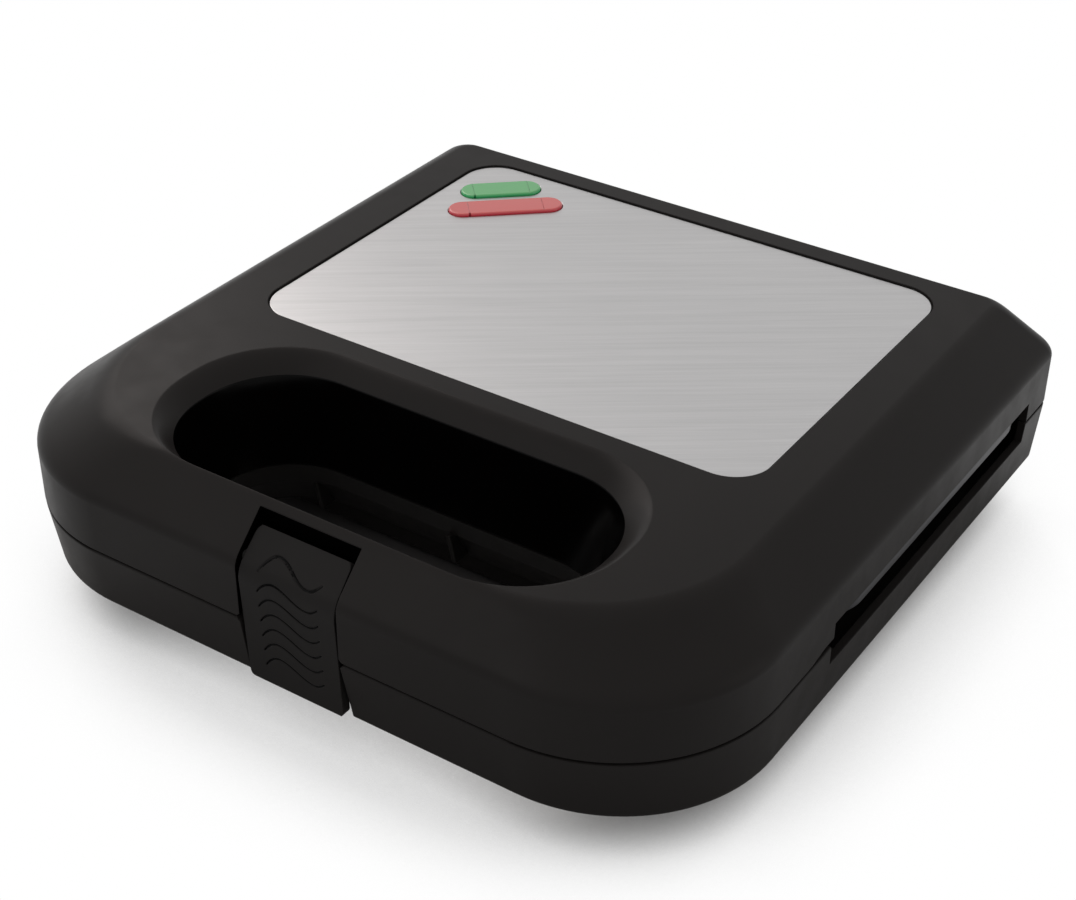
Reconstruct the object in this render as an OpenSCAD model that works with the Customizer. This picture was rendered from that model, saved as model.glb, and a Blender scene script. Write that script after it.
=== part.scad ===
// Clamshell sandwich toaster: two moulded shells on a rear hinge, closed by a rocking latch.
// Millimetres. +X is to the right seen from the front, +Y is to the rear, +Z is up.
// The origin is on the worktop, under the middle of the whole toaster.

/* [Body] */
// Width of the shells at the seam
body_w = 230; // [215:1:245]
// Depth of the shells from front wall to back wall at the seam
body_d = 222; // [216:1:235]
// Corner radius of the two front corners at the seam
front_r = 48; // [42:1:52]
// Corner radius of the two rear corners at the seam
rear_r = 6; // [4:0.5:14]
// Wall thickness of the moulded shells
wall = 2.5; // [2:0.1:3]
// Gap between the rims of the two shells
seam_gap = 0.6; // [0.5:0.1:1]

/* [Lid shell] */
// Height of the lid's upright skirt
lid_skirt_h = 17.8; // [16:0.2:20]
// Height of the lid's sloping bevel
lid_bevel_h = 13; // [11:0.5:14]
// Inset of the bevel along the two sides
bevel_side = 16.2; // [14:0.2:18]
// Inset of the bevel along the front
bevel_front = 13.5; // [12.5:0.5:14.5]
// Inset of the bevel along the rear
bevel_rear = 7.3; // [6:0.1:9]

/* [Base shell] */
// Height of the base's upright skirt
base_skirt_h = 19.8; // [19:0.2:22]
// Draft of the skirt at its front and back, as an inset at its foot
base_draft = 3.2; // [2:0.1:4]
// Draft of the skirt at its two sides, as an inset at its foot
base_draft_side = 1.1; // [0.8:0.1:3.2]
// Depth of the belly under the skirt
belly_h = 11; // [9:0.5:12]

/* [Handle opening] */
// Width of the hand opening at its rolled lip
grip_w = 144; // [130:1:150]
// Depth of the hand opening at its rolled lip
grip_d = 65; // [60:1:66]
// Height of the rolled lip
grip_lip_h = 7; // [5:0.5:8]
// Inset of the rolled lip
grip_lip_in = 5.8; // [4:0.2:6]

/* [Top panel and lamps] */
// Land between the steel panel and the shell at each side
panel_side = 31.8; // [31:0.1:38]
// Land between the hand opening and the steel panel
panel_land = 8.1; // [7:0.1:12]
// Land between the steel panel and the back wall
panel_rear = 15.6; // [15:0.1:22]
// Corner radius of the panel
panel_r = 13; // [8:0.5:16]
// Thickness of the panel
panel_t = 0.7; // [0.5:0.1:0.8]
// Length of the red lamp window
red_len = 37.5; // [30:0.5:40]
// Length of the green lamp window
green_len = 26.8; // [20:0.2:30]
// Width of both lamp windows
lamp_w = 10; // [9:0.2:10.6]

/* [Cooking plates] */
// Gap between the lower cooking plate and the outside of the shell at each side
plate_side = 6.5; // [6:0.5:10]
// How far the rim of the upper cooking plate reaches past the lower one at each side
plate_reach = 5; // [0:0.5:5.2]
// Depth of the bread pockets
pocket_h = 11.5; // [9:0.5:12]
// Thickness of the cast plate
plate_t = 2.2; // [2:0.1:2.6]

/* [Latch] */
// Width of the latch
latch_w = 31.4; // [28:0.2:34]
// Thickness of the latch
latch_t = 2.8; // [2.4:0.1:3.2]
// How far the latch stands proud of the front wall
latch_proud = 2; // [1:0.1:2.4]

/* [Hinge] */
// Outer radius of the hinge knuckles
knuckle_r = 5.5; // [5:0.1:6]
// Radius of the hinge pins
hinge_pin_r = 1.6; // [1.4:0.1:2]
// Distance of each hinge from the middle of the toaster
hinge_x = 67; // [60:1:75]

/* [Feet] */
// Height of the rubber feet below the belly
foot_h = 4; // [4:0.5:8]
// Radius of the rubber feet
foot_r = 8; // [6:0.5:9]

/* [Hidden] */
$fn = 48;
EPS = 0.01;
CUT = 2;                                  // how far a cutter runs past a face
FIT = 0.05;                               // running clearance of a pin in its bore
CLEAR = 0.4;                              // clearance between moving or assembled pieces

// Heights, from the worktop up
belly_z = foot_h;
base_foot_z = belly_z + belly_h;
base_rim_z = base_foot_z + base_skirt_h;
lid_rim_z = base_rim_z + seam_gap;
crease_z = lid_rim_z + lid_skirt_h;
top_z = crease_z + lid_bevel_h;
hinge_z = (base_rim_z + lid_rim_z) / 2;

// Depths, with the front wall of the shells at front_y
hinge_back = 1;                           // hinge axis behind the back wall
overall_d = latch_proud + body_d + hinge_back + knuckle_r;
front_y = latch_proud - overall_d / 2;
back_y = front_y + body_d;
hinge_y = back_y + hinge_back;
half_w = body_w / 2;
crease_r = front_r - 2;                   // corner radius of the top face, front
crease_rear_r = rear_r - 1;               // corner radius of the top face, rear
bevel_soft = 2.2;                         // rounding where the skirt meets the bevel
rim_round = 0.6;                          // rounding of the two rims
foot_round = 2.2;                         // rounding of the base's lower edge

// Hand opening
grip_front = front_y + bevel_front;
grip_rear = grip_front + grip_d;
grip_r = grip_d / 2 - 2;                  // corner radius at the lip
grip_lean = 0.55;                         // the front wall leans in by this share of the rear one
grip_draft = 0.6;                         // draft of the wall under the lip
grip_knee = [grip_lip_in - 0.8, grip_lip_h * 0.63];   // the lip's roll, as [inset, drop]
grip_edge = [1.2, 0.9];                   // where the roll meets the top face, as [inset, drop]
throat_in = 12.2;                         // inset of the opening at the seam
throat_low_in = 8.5;                      // inset of the opening where the base flares
flare_h = 8;                              // height of the flared part of the base
gusset_x = 48;
gusset_t = 1.6;
gusset_d = 4;                             // depth of a gusset at its top

// Top panel
panel_gap = 0.5;
panel_recess = 1.2;
panel_w = body_w - 2 * panel_side;
panel_front = grip_rear + panel_land;
panel_back = back_y - panel_rear;
panel_d = panel_back - panel_front;
panel_y = (panel_front + panel_back) / 2;
skin_z = top_z - panel_recess - wall;     // ceiling inside the lid
lamp_angle = 41.5;
lamp_in = [20.45, 20.15];                 // middle of the windows, in from the panel's rear left corner
lamp_mid = [lamp_in[0] - panel_w / 2, panel_back - lamp_in[1]];
lamp_pitch = 12.7;
lamp_gap = 0.15;
lens_proud = 0.9;
lens_flange = 1.2;
lens_step = 0.5;                          // height and width of the step round the crown
flange_w = 1.5;                           // flange of a lens inside the lid, at its ends
flange_gap = 0.7;                         // gap between the flanges of the two lenses
lamp_r = 1.4;
lamp_l = 18;
holder_t = 1;
holder_wall = 1.6;
holder_z = skin_z - lens_flange - holder_t - 2 * lamp_r - 0.6;
holder_l = red_len + 9;
holder_side = 1.15;                       // tray past the windows at each side
holder_w = lamp_pitch + lamp_w + 2 * holder_side;

// Latch and the recess that it sits in
latch_side = 0.6;                         // gap at each side of the latch
recess_w = latch_w + 2 * latch_side;
recess_d = 13;
recess_top_z = top_z - 2.2;
recess_flare = 1;                         // how far the recess widens at the base's foot
recess_notch = 1.6;                       // notch in the recess corners at the seam
pivot_y = front_y + 4.5;
pivot_z = crease_z - 0.2;
latch_pin_r = 1.5;
latch_boss_r = 3.2;
pin_boss_r = 3.4;                         // lid bosses that carry the latch pin
latch_len = 35;                           // upright length below the bend
latch_corner = 2.6;                       // corner radius at the foot of the latch
tab_corner = 1.8;                         // corner radius at the top of the tab
tab_in = 0.7;                             // how far the tab narrows to its top, each side
latch_arm_h = 4.4;
catch_w = 12;
catch_z = base_rim_z - flare_h;           // underside of the catch
catch_h = 3;
catch_reach = 8.8;                        // catch, measured out from the recess wall
hook_bite = 1.5;                          // overlap of the hook under the catch
hook_gap = 0.35;                          // gap between the hook and the catch
hook_h = 5;
hook_tip = 1.6;                           // height of the hook at its tip

// Cooking plates
plate_front = grip_rear + 3.5;
plate_back = back_y - 16;
plate_w = body_w - 2 * plate_side;
plate_d = plate_back - plate_front;
plate_y = (plate_front + plate_back) / 2;
plate_rim = 3;                            // height of the rolled edge of each plate
plate_skirt = 2;                          // drafted skirt under the rolled edge
plate_draft = 0.8;                        // inset of the skirt at its foot
plate_round = 1.4;                        // rounding of the rim face
plate_r = 14;
plate_gap = 0.5;
lower_rim_z = base_rim_z + 0.1;
upper_rim_z = lower_rim_z + plate_gap;
rib_w = 5;                                // land between two pockets
pocket_land = 8;                          // land in front of and behind the pockets
pocket_side = 9;                          // land beside the pockets
pocket_taper = 5;
pocket_r = 9;
plate_drop = pocket_h + plate_t;          // from the rim face to the outside of a pocket

// Heating elements, shields and what hangs on them
rod_r = 3.2;
shield_t = 0.8;
rod_gap = 0.1;                            // between the element and what it lies against
bend_r = 12;
rod_tail = 14;                            // straight end of an element behind its U
rod_pin_r = 1.4;
rod_pin_l = 5;
element_w = plate_w - 85;
element_d = plate_d - 58;
stud_x = plate_w / 2 - 30.5;              // shield studs, clear of the lamps
stud_front = 20 - plate_d / 2;
stud_rear = plate_d / 2 - 48;
shield_margin = 5;
shield_hole_x = 24;
shield_hole_r = 9;
boss_r = 4;
boss_root = 0.8;                          // how much wider a boss is at its root
screw_r = 1.5;
screw_hole_r = screw_r + 0.1;
head_r = 2.9;
head_h = 1.6;
well_r = 4.6;                             // screw well cast under a plate
well_h = 5;
well_floor = 2.4;
well_in = 9;                              // screw wells, in from the edge of the plate
screw_points = [[plate_w / 2 - well_in, plate_d / 2 - well_in], [well_in - plate_w / 2, plate_d / 2 - well_in],
    [0, well_in - plate_d / 2]];
plate_screw_l = 9;
lower_stud_screw_l = 7;
upper_stud_screw_l = 5;
pilot_more = 8;                           // pilot holes in the bosses, below the wells
foot_x = plate_w / 2 - 26.5;
foot_y = plate_d / 2 - 12;
foot_edge = 1;                            // chamfer of a foot's tread
belly_hw = plate_w / 2 - 14;
belly_r = 14;
belly_front = 1;                          // how far the belly reaches past the plates, front and rear
belly_rear = 3;
belly_soft = 0.8;                         // rounding of the belly's lower edge
belly_draft = 3;
vent_x = 40;
vent_reach = 14;                          // half the length of a vent between its round ends
vent_pitch = 11;
vent_r = 1.5;
thermostat_r = 6;
fuse_r = 1.9;
fuse_l = 22;

// Rear details
gland_r = 5.6;
gland_bore_r = 3.4;
gland_flange_r = 7.6;
gland_flange_t = 3;
gland_z = base_rim_z - 10.5;
gland_seat_y = back_y - 0.4;              // flat boss that the gland's flange bears on
gland_seat_d = 6;
gland_tail = 5;                           // how far the gland reaches in past the wall
block_x = 14;
block_w = 32;
block_d = 7.5;
block_h = 8;

// Side slots between the shells
slot_front = plate_front - 5;
slot_back = plate_back - 3;
slot_h = 6.5;                             // height cut into each shell
slot_deep = 7;                            // depth of the cut, past the wall
slot_slant = 1.2;                         // slant of its front end in the base
relief_l = 15;                            // shallow relief in the lid's rim in front of the slot
relief_h = 1.7;

// ---------- outlines and lofts ----------

function arc(c, r, a0, n) = [for (i = [0 : n]) c + r * [cos(a0 + 90 * i / n), sin(a0 + 90 * i / n)]];

// Rounded rectangle with its own front and rear corner radii
function outline(hw, yf, yb, rf, rb, n) = concat(
    arc([hw - rf, yf + rf], rf, -90, n),
    arc([hw - rb, yb - rb], rb, 0, n),
    arc([rb - hw, yb - rb], rb, 90, n),
    arc([rf - hw, yf + rf], rf, 180, n));

function lift(pts, z) = [for (p = pts) [p[0], p[1], z]];

// Quadratic blend that rounds the corner b between a and c
function blend(a, b, c, n) = [for (i = [0 : n]) let (t = i / n)
    (1 - t) * (1 - t) * a + 2 * t * (1 - t) * b + t * t * c];

// Closed solid through rings of equal length, listed from the bottom up
module loft(rings) {
    n = len(rings[0]);
    top = (len(rings) - 1) * n;
    polyhedron(
        points = [for (r = rings) each r],
        faces = concat(
            [[for (i = [0 : n - 1]) i]],
            [[for (i = [n - 1 : -1 : 0]) top + i]],
            [for (k = [0 : len(rings) - 2]) for (i = [0 : n - 1]) let (a = k * n, j = (i + 1) % n)
                each [[a + i, a + n + i, a + j], [a + j, a + n + i, a + n + j]]]),
        convexity = 6);
}

// One level of a shell: share u of the bevel inset, grown inwards by g
function shell_ring(u, z, g, n) = lift(outline(
    half_w - u * bevel_side - g,
    front_y + u * bevel_front + g,
    back_y - u * bevel_rear - g,
    max(front_r + (crease_r - front_r) * u - g, 4),
    max(rear_r + (crease_rear_r - rear_r) * u - g, 3), n), z);

// Lid profile as [share of the bevel, height]
top_soft = 0.22;                          // share of the bevel that is rounded under the top
lid_profile = concat(
    [[0.03, lid_rim_z], [0, lid_rim_z + rim_round]],
    blend([0, crease_z - bevel_soft], [0, crease_z], [bevel_soft / lid_bevel_h, crease_z + bevel_soft], 4),
    blend([1 - top_soft, top_z - top_soft * lid_bevel_h], [1, top_z], [1.16, top_z], 4));

module lid_outer() loft([for (p = lid_profile) shell_ring(p[0], p[1], 0, 9)]);

module lid_inner() loft([
    shell_ring(0, lid_rim_z - CUT, wall, 6),
    shell_ring(0, crease_z - wall * 0.4, wall, 6),
    shell_ring((skin_z - crease_z + wall * 0.4) / lid_bevel_h, skin_z, wall, 6)]);

// One level of the base: share u of the draft, inset further by g
base_r_in = 0.6;                          // share of an inset that the corner radii lose
base_r_min = 3;
function base_ring(u, g, z, n) = let (i = u * base_draft + g) lift(outline(
    half_w - u * base_draft_side - g, front_y + i, back_y - i,
    front_r - i * base_r_in, max(rear_r - i * base_r_in, base_r_min), n), z);

// Base profile as [share of the draft, inset, height]
base_profile = concat(
    [for (p = blend([foot_round, 0], [0, 0], [0, foot_round], 3)) [1, p[0], base_foot_z + p[1]]],
    [[0.05, 0, base_rim_z - rim_round], [0, rim_round, base_rim_z]]);

module base_outer() loft([for (p = base_profile) base_ring(p[0], p[1], p[2], 9)]);

module base_inner() loft([
    base_ring(1, wall, base_foot_z + wall, 6),
    base_ring(0, wall, base_rim_z - 3, 6),
    base_ring(0, wall, base_rim_z + CUT, 6)]);

// Belly under the cooking plate
function belly_ring(i, z) = lift(outline(belly_hw - i, plate_front - belly_front + i,
    plate_back + belly_rear - i, belly_r, belly_r, 6), z);

module belly_outer() loft([
    belly_ring(belly_draft, belly_z),
    belly_ring(belly_draft - belly_soft, belly_z + belly_soft),
    belly_ring(0, base_foot_z + wall / 2)]);

module belly_inner() loft([
    belly_ring(belly_draft - 0.5 + wall, belly_z + wall),
    belly_ring(wall, base_foot_z),
    belly_ring(wall, base_foot_z + wall + CUT)]);

// ---------- hand opening ----------

// One level of the hand opening: inset by i, with a steeper front wall
function grip_ring(i, z) = lift(outline(grip_w / 2 - i, grip_front + i * grip_lean, grip_rear - i,
    grip_r - i * 0.65, grip_r - i * 0.65, 8), z);

// Hole through the lid, grown outwards by g
module lid_grip(g) loft(concat(
    [grip_ring(throat_in - g, lid_rim_z - CUT)],
    [grip_ring(grip_lip_in + grip_draft - g, top_z - grip_lip_h - 1)],
    [for (p = blend([grip_lip_in, grip_lip_h - grip_draft], grip_knee, grip_edge, 4))
        grip_ring(p[0] - g, top_z - p[1])],
    [grip_ring(0.5 - g, top_z - 0.3)],
    [grip_ring(-0.1 - g, top_z + (g > 0 ? 0 : EPS))],
    g > 0 ? [] : [grip_ring(-0.1, top_z + CUT)]));

// Hole through the base, grown outwards by g
module base_grip(g) loft([
    grip_ring(0.5 - g, base_foot_z - (g > 0 ? 0 : CUT)),
    grip_ring(1.2 - g, base_foot_z + 0.8),
    grip_ring(throat_low_in - g, base_rim_z - flare_h),
    grip_ring(throat_in - g, base_rim_z + CUT)]);

// ---------- shared details ----------

module mirrored_x() {
    children();
    mirror([1, 0, 0]) children();
}

module along_x(x0, x1, y, z, r) translate([x0, y, z]) rotate([0, 90, 0]) cylinder(h = x1 - x0, r = r);

module at_feet() for (x = [-foot_x, foot_x], y = [-foot_y, foot_y]) translate([x, plate_y + y, 0]) children();

module at_studs() for (x = [-stud_x, stud_x], y = [stud_front, stud_rear])
    translate([x, plate_y + y, 0]) children();

module at_wells() for (p = screw_points) translate([p[0], plate_y + p[1], 0]) children();

// Drafted boss from its root to its seat, which can lie above or below the root
module boss(root_z, seat_z) hull() {
    up = sign(seat_z - root_z);
    translate([0, 0, min(root_z, root_z + up * EPS)]) cylinder(h = EPS, r = boss_r + boss_root, $fn = 24);
    translate([0, 0, min(seat_z, seat_z - up * EPS)]) cylinder(h = EPS, r = boss_r, $fn = 24);
}

module pilot(z0, z1) translate([0, 0, z0]) cylinder(h = z1 - z0, r = screw_hole_r, $fn = 16);

// Recess of the latch, widened by w0 at its foot and w1 at its top
module latch_recess(z0, z1, w0, w1) translate([0, front_y + recess_d, 0]) rotate([90, 0, 0])
    linear_extrude(recess_d + latch_proud + CUT) polygon([[-recess_w / 2 - w0, z0], [recess_w / 2 + w0, z0],
        [recess_w / 2 + w1, z1], [-recess_w / 2 - w1, z1]]);

// Small notches in the corners of the recess where the two shells meet
module seam_notches(z) mirrored_x() translate([recess_w / 2 + 0.1, front_y - CUT, z]) rotate([-90, 45, 0])
    translate([-recess_notch / 2, -recess_notch / 2, 0]) cube([recess_notch, recess_notch, wall + CUT]);

// Walls that line the latch recess inside a shell, w further out at each side
module recess_liner(z0, z1, w) translate([-recess_w / 2 - wall - w, front_y + wall / 2, z0])
    cube([recess_w + 2 * (wall + w), recess_d + wall / 2, z1 - z0]);

module side_slots(z0, z1, slant) mirrored_x() translate([half_w - slot_deep, 0, 0]) rotate([90, 0, 90])
    linear_extrude(slot_deep + CUT)
        polygon([[slot_front, z0], [slot_back, z0], [slot_back, z1], [slot_front + slant, z1]]);

// Shallow relief in the lid's rim in front of each slot
module rim_reliefs() mirrored_x() translate([half_w - slot_deep, 0, 0]) rotate([90, 0, 90])
    linear_extrude(slot_deep + CUT) polygon([
        [slot_front - relief_l, lid_rim_z - 0.1],
        [slot_front + CUT, lid_rim_z - CUT],
        [slot_front + CUT, lid_rim_z + relief_h],
        [slot_front - relief_l / 3, lid_rim_z + relief_h]]);

module pill(len, w, z0, h) translate([0, 0, z0]) {
    translate([-(len - w) / 2, -w / 2, 0]) cube([len - w, w, h]);
    for (s = [-1, 1]) translate([s * (len - w) / 2, 0, 0]) cylinder(h = h, d = w);
}

module at_lamp(side) translate([lamp_mid[0], lamp_mid[1], 0]) rotate([0, 0, lamp_angle])
    translate([0, side * lamp_pitch / 2, 0]) children();

// Pan-head screw whose head sits on z and whose shank goes down
module screw_down(z, len) {
    translate([0, 0, z]) cylinder(h = head_h, r1 = head_r, r2 = head_r - screw_r / 2);
    translate([0, 0, z - len]) cylinder(h = len + EPS, r = screw_r);
}

// ---------- hinge ----------

ear_w = 6;
lid_knuckle_w = 17.2;
ear_in = hinge_x - lid_knuckle_w / 2 - CLEAR - ear_w;
ear_out = hinge_x + lid_knuckle_w / 2 + CLEAR;
leaf_t = 1.6;
leaf_h = 13;
hinge_block_d = 8.5;                      // thick part of the base's back wall
base_leaf_y = back_y - hinge_block_d;     // face that the base leaf bears on
lid_leaf_y = back_y - wall;
arm_z = 0.6;                              // clearance of arms and leaves past the hinge line
arm_h = knuckle_r - arm_z;
pin_press = 0.02;                         // tight fit of a pin in the base ears
hinge_land = 3;                           // thick back wall beside the hinge windows

// Knuckle with an arm that reaches in to the leaf; up is 1 for the lid and -1 for the base
module knuckle(x0, w, leaf_y, up, bore_r) difference() {
    union() {
        along_x(x0, x0 + w, hinge_y, hinge_z, knuckle_r);
        translate([x0, leaf_y - leaf_t, hinge_z + (up > 0 ? arm_z : -arm_z - arm_h)])
            cube([w, hinge_y - leaf_y + leaf_t, arm_h]);
    }
    along_x(x0 - CUT, x0 + w + CUT, hinge_y, hinge_z, bore_r);
}

module leaf(x0, w, leaf_y, up) translate([x0, leaf_y - leaf_t, hinge_z + (up > 0 ? arm_z : -arm_z - leaf_h)])
    cube([w, leaf_t, leaf_h]);

module base_hinge_brackets() color("silver") mirrored_x() {
    leaf(ear_in, ear_out + ear_w - ear_in, base_leaf_y, -1);
    knuckle(ear_in, ear_w, base_leaf_y, -1, hinge_pin_r + pin_press);
    knuckle(ear_out, ear_w, base_leaf_y, -1, hinge_pin_r + pin_press);
}

module lid_hinge_brackets() color("silver") mirrored_x() {
    leaf(hinge_x - lid_knuckle_w / 2, lid_knuckle_w, lid_leaf_y, 1);
    knuckle(hinge_x - lid_knuckle_w / 2, lid_knuckle_w, lid_leaf_y, 1, hinge_pin_r + FIT);
}

// Window through a back wall for the hinge
module hinge_window(z0, z1) mirrored_x() translate([ear_in - CLEAR, base_leaf_y - 1, z0])
    cube([ear_out + ear_w - ear_in + 2 * CLEAR, hinge_block_d + 1 + CUT, z1 - z0]);

// ---------- base ----------

module base_housing() color([0.09, 0.085, 0.085]) {
    difference() {
        union() {
            difference() {
                base_outer();
                difference() {
                    base_inner();
                    base_grip(wall);
                    recess_liner(base_foot_z, base_rim_z - EPS, recess_flare);
                    mirrored_x() translate([ear_in - hinge_land, base_leaf_y, base_foot_z])
                        cube([ear_out + ear_w - ear_in + 2 * hinge_land, hinge_block_d, base_skirt_h]);
                }
                belly_inner();
            }
            difference() {
                belly_outer();
                belly_inner();
            }
            for (p = screw_points) translate([p[0], plate_y + p[1], 0])
                boss(abs(p[0]) < belly_hw ? belly_z + wall / 2 : base_foot_z + wall / 2, lower_rim_z - well_h);
            at_studs() boss(belly_z + wall / 2, lower_shield_z);
            translate([0, back_y - gland_seat_d, gland_z]) rotate([-90, 0, 0])
                cylinder(h = gland_seat_y - back_y + gland_seat_d, r = gland_flange_r + 1, $fn = 32);
        }
        base_grip(0);
        latch_recess(base_foot_z - CUT, base_rim_z + CUT, recess_flare, 0);
        seam_notches(base_rim_z);
        side_slots(base_rim_z - slot_h, base_rim_z + CUT, -slot_slant);
        hinge_window(hinge_z - knuckle_r - 1, base_rim_z + CUT);
        translate([0, back_y - gland_seat_d - CUT, gland_z]) rotate([-90, 0, 0])
            cylinder(h = gland_seat_d + 2 * CUT, r = gland_r + 0.1, $fn = 32);
        at_wells() pilot(lower_rim_z - well_h - pilot_more, lower_rim_z);
        at_studs() pilot(belly_z + wall / 2, lower_shield_z + CUT);
        // vents in the belly floor
        for (sx = [-1, 1], i = [-2 : 2]) hull() for (t = [-1, 1])
            translate([sx * vent_x + t * vent_reach, plate_y + i * vent_pitch, belly_z - CUT])
                cylinder(h = wall + 2 * CUT, r = vent_r, $fn = 12);
    }
    // catch that the latch hooks under
    translate([-catch_w / 2, front_y + recess_d - catch_reach, catch_z])
        cube([catch_w, catch_reach + wall / 2, catch_h]);
    // gussets under the flared part of the hand opening
    for (x = [-gusset_x, 0, gusset_x]) translate([x - gusset_t / 2, grip_rear - throat_low_in, 0]) hull() {
        translate([0, -wall * 0.6, base_rim_z - flare_h - 1]) cube([gusset_t, gusset_d, 1]);
        translate([0, 1, base_foot_z + 1]) cube([gusset_t, gusset_d * 1.5, 1]);
    }
}

lower_shield_z = lower_rim_z - plate_drop - 2 * (rod_r + rod_gap) - shield_t;
upper_shield_z = upper_rim_z + plate_drop + 2 * (rod_r + rod_gap);

module rubber_feet() color([0.12, 0.12, 0.12]) at_feet() rotate_extrude()
    polygon([[0, 0], [foot_r - foot_edge, 0], [foot_r, foot_edge], [foot_r, foot_h], [0, foot_h]]);

// ---------- cooking plates, drawn with the rim face at z = 0 and the pockets going down ----------

// Corners of one bread pocket: k = 0 or 1 is the front or the rear triangle of the right-hand half
function pocket_corners(k) = let (
    x0 = rib_w * 0.9, x1 = plate_w / 2 - pocket_side,
    y0 = -plate_d / 2 + pocket_land, y1 = plate_d / 2 - pocket_land, d = rib_w * 1.5)
    k == 0 ? [[x0 + d, y0], [x1, y0], [x1, y1 - d]] : [[x1 - d, y1], [x0, y1], [x0, y0 + d]];

// Rounded triangle: inset by i, corner radius r, through three corners listed anticlockwise
function unit(v) = v / norm(v);
function rounded(tri, i, r, n) = [for (k = [0 : 2]) let (
    p = tri[k], a = unit(tri[(k + 2) % 3] - p), b = unit(tri[(k + 1) % 3] - p),
    half = acos(a * b) / 2, c = p + unit(a + b) * (r + i) / sin(half), start = atan2(a[1], a[0]) + 90)
    for (j = [0 : n]) let (t = start + (180 - 2 * half) * j / n) c + r * [cos(t), sin(t)]];

module pocket(k, grow, z0, z1) loft([
    lift(rounded(pocket_corners(k), pocket_taper - grow, pocket_r - pocket_taper + 2, 6), z0),
    lift(rounded(pocket_corners(k), pocket_taper * 0.55 - grow, pocket_r - 3, 6), z0 + (z1 - z0) * 0.25),
    lift(rounded(pocket_corners(k), -grow, pocket_r, 6), z1)]);

// One level of a plate, inset by i and reaching further out at each side by reach
function plate_ring(i, z, reach) = lift(outline(plate_w / 2 + reach - i, i - plate_d / 2, plate_d / 2 - i,
    plate_r - i, plate_r - i, 6), z);

module plate_pockets(grow, z0, z1) mirrored_x() for (k = [0, 1]) pocket(k, grow, z0, z1);

module plate_wells(z0, z1) for (p = screw_points) translate([p[0], p[1], z0]) cylinder(h = z1 - z0, r = well_r);

module cooking_plate(reach) color([0.16, 0.16, 0.165]) difference() {
    union() {
        loft([
            plate_ring(plate_draft, -plate_rim - plate_skirt, reach),
            plate_ring(0, -plate_rim, reach),
            plate_ring(0, -plate_round, reach),
            plate_ring(plate_round * 0.3, -plate_round * 0.3, reach),
            plate_ring(plate_round, 0, reach)]);
        plate_pockets(plate_t, -plate_drop, -1);
        plate_wells(-well_h, -1);
    }
    plate_pockets(0, -pocket_h, EPS);
    // hollow under the rolled edge
    difference() {
        loft([plate_ring(wall, -plate_rim - plate_skirt - 1, reach), plate_ring(wall, -plate_t, reach)]);
        plate_pockets(plate_t, -plate_drop, -1);
        plate_wells(-well_h - 1, 0);
    }
    for (p = screw_points) translate([p[0], p[1], -well_h]) {
        translate([0, 0, -CUT]) cylinder(h = well_h + CUT, r = screw_r + 0.2);
        translate([0, 0, well_floor]) cylinder(h = well_h, r = head_r + CLEAR);
    }
}

module lower_cooking_plate() translate([0, plate_y, lower_rim_z]) cooking_plate(0);

module upper_cooking_plate() translate([0, plate_y, upper_rim_z]) mirror([0, 0, 1])
    cooking_plate(plate_reach);

// ---------- heating ----------

// U-shaped tubular element lying on z, with its two ends turned to the rear
module element(z) color([0.5, 0.48, 0.45]) translate([0, plate_y, z]) {
    hx = element_w / 2;
    hy = element_d / 2;
    along_x(bend_r - hx, hx - bend_r, -hy, 0, rod_r);
    mirrored_x() {
        translate([hx - bend_r, bend_r - hy, 0]) rotate([0, 0, -90]) rotate_extrude(angle = 90)
            translate([bend_r, 0]) circle(r = rod_r);
        translate([hx, bend_r - hy, 0]) rotate([-90, 0, 0])
            cylinder(h = element_d - bend_r + rod_tail, r = rod_r);
        translate([hx, hy + rod_tail - EPS, 0]) rotate([-90, 0, 0]) cylinder(h = rod_pin_l, r = rod_pin_r);
    }
}

module lower_heating_element() element(lower_rim_z - plate_drop - rod_r - rod_gap);

module upper_heating_element() element(upper_rim_z + plate_drop + rod_r + rod_gap);

module shield(z) color([0.75, 0.75, 0.76]) difference() {
    translate([-stud_x - shield_margin, plate_y + stud_front - shield_margin, z])
        cube([2 * (stud_x + shield_margin), 2 * (shield_margin - stud_front), shield_t]);
    at_studs() translate([0, 0, z - CUT]) cylinder(h = shield_t + 2 * CUT, r = screw_r + 0.2);
    for (sx = [-1, 1]) translate([sx * shield_hole_x, plate_y, z - CUT])
        cylinder(h = shield_t + 2 * CUT, r = shield_hole_r);
}

module lower_heat_shield() shield(lower_shield_z);

module upper_heat_shield() shield(upper_shield_z);

module lower_shield_screws() color("silver") at_studs()
    screw_down(lower_shield_z + shield_t, lower_stud_screw_l);

module upper_shield_screws() color("silver") at_studs() mirror([0, 0, 1])
    screw_down(-upper_shield_z, upper_stud_screw_l);

module lower_plate_screws() color("silver") at_wells()
    screw_down(lower_rim_z - well_h + well_floor, plate_screw_l);

module upper_plate_screws() color("silver") at_wells() mirror([0, 0, 1])
    screw_down(-(upper_rim_z + well_h - well_floor), plate_screw_l);

module thermostat() color([0.85, 0.82, 0.72])
    translate([stud_x - 28, plate_y + stud_front + 20, lower_shield_z + shield_t])
        cylinder(h = 2 * rod_r, r = thermostat_r);

module thermal_fuse() color([0.8, 0.8, 0.78])
    along_x(-fuse_l / 2, fuse_l / 2, plate_y + stud_rear + 8, lower_shield_z + shield_t + fuse_r, fuse_r);

module terminal_block() color([0.92, 0.92, 0.88])
    translate([block_x, plate_back + 1, base_foot_z + wall]) cube([block_w, block_d, block_h]);

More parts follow.
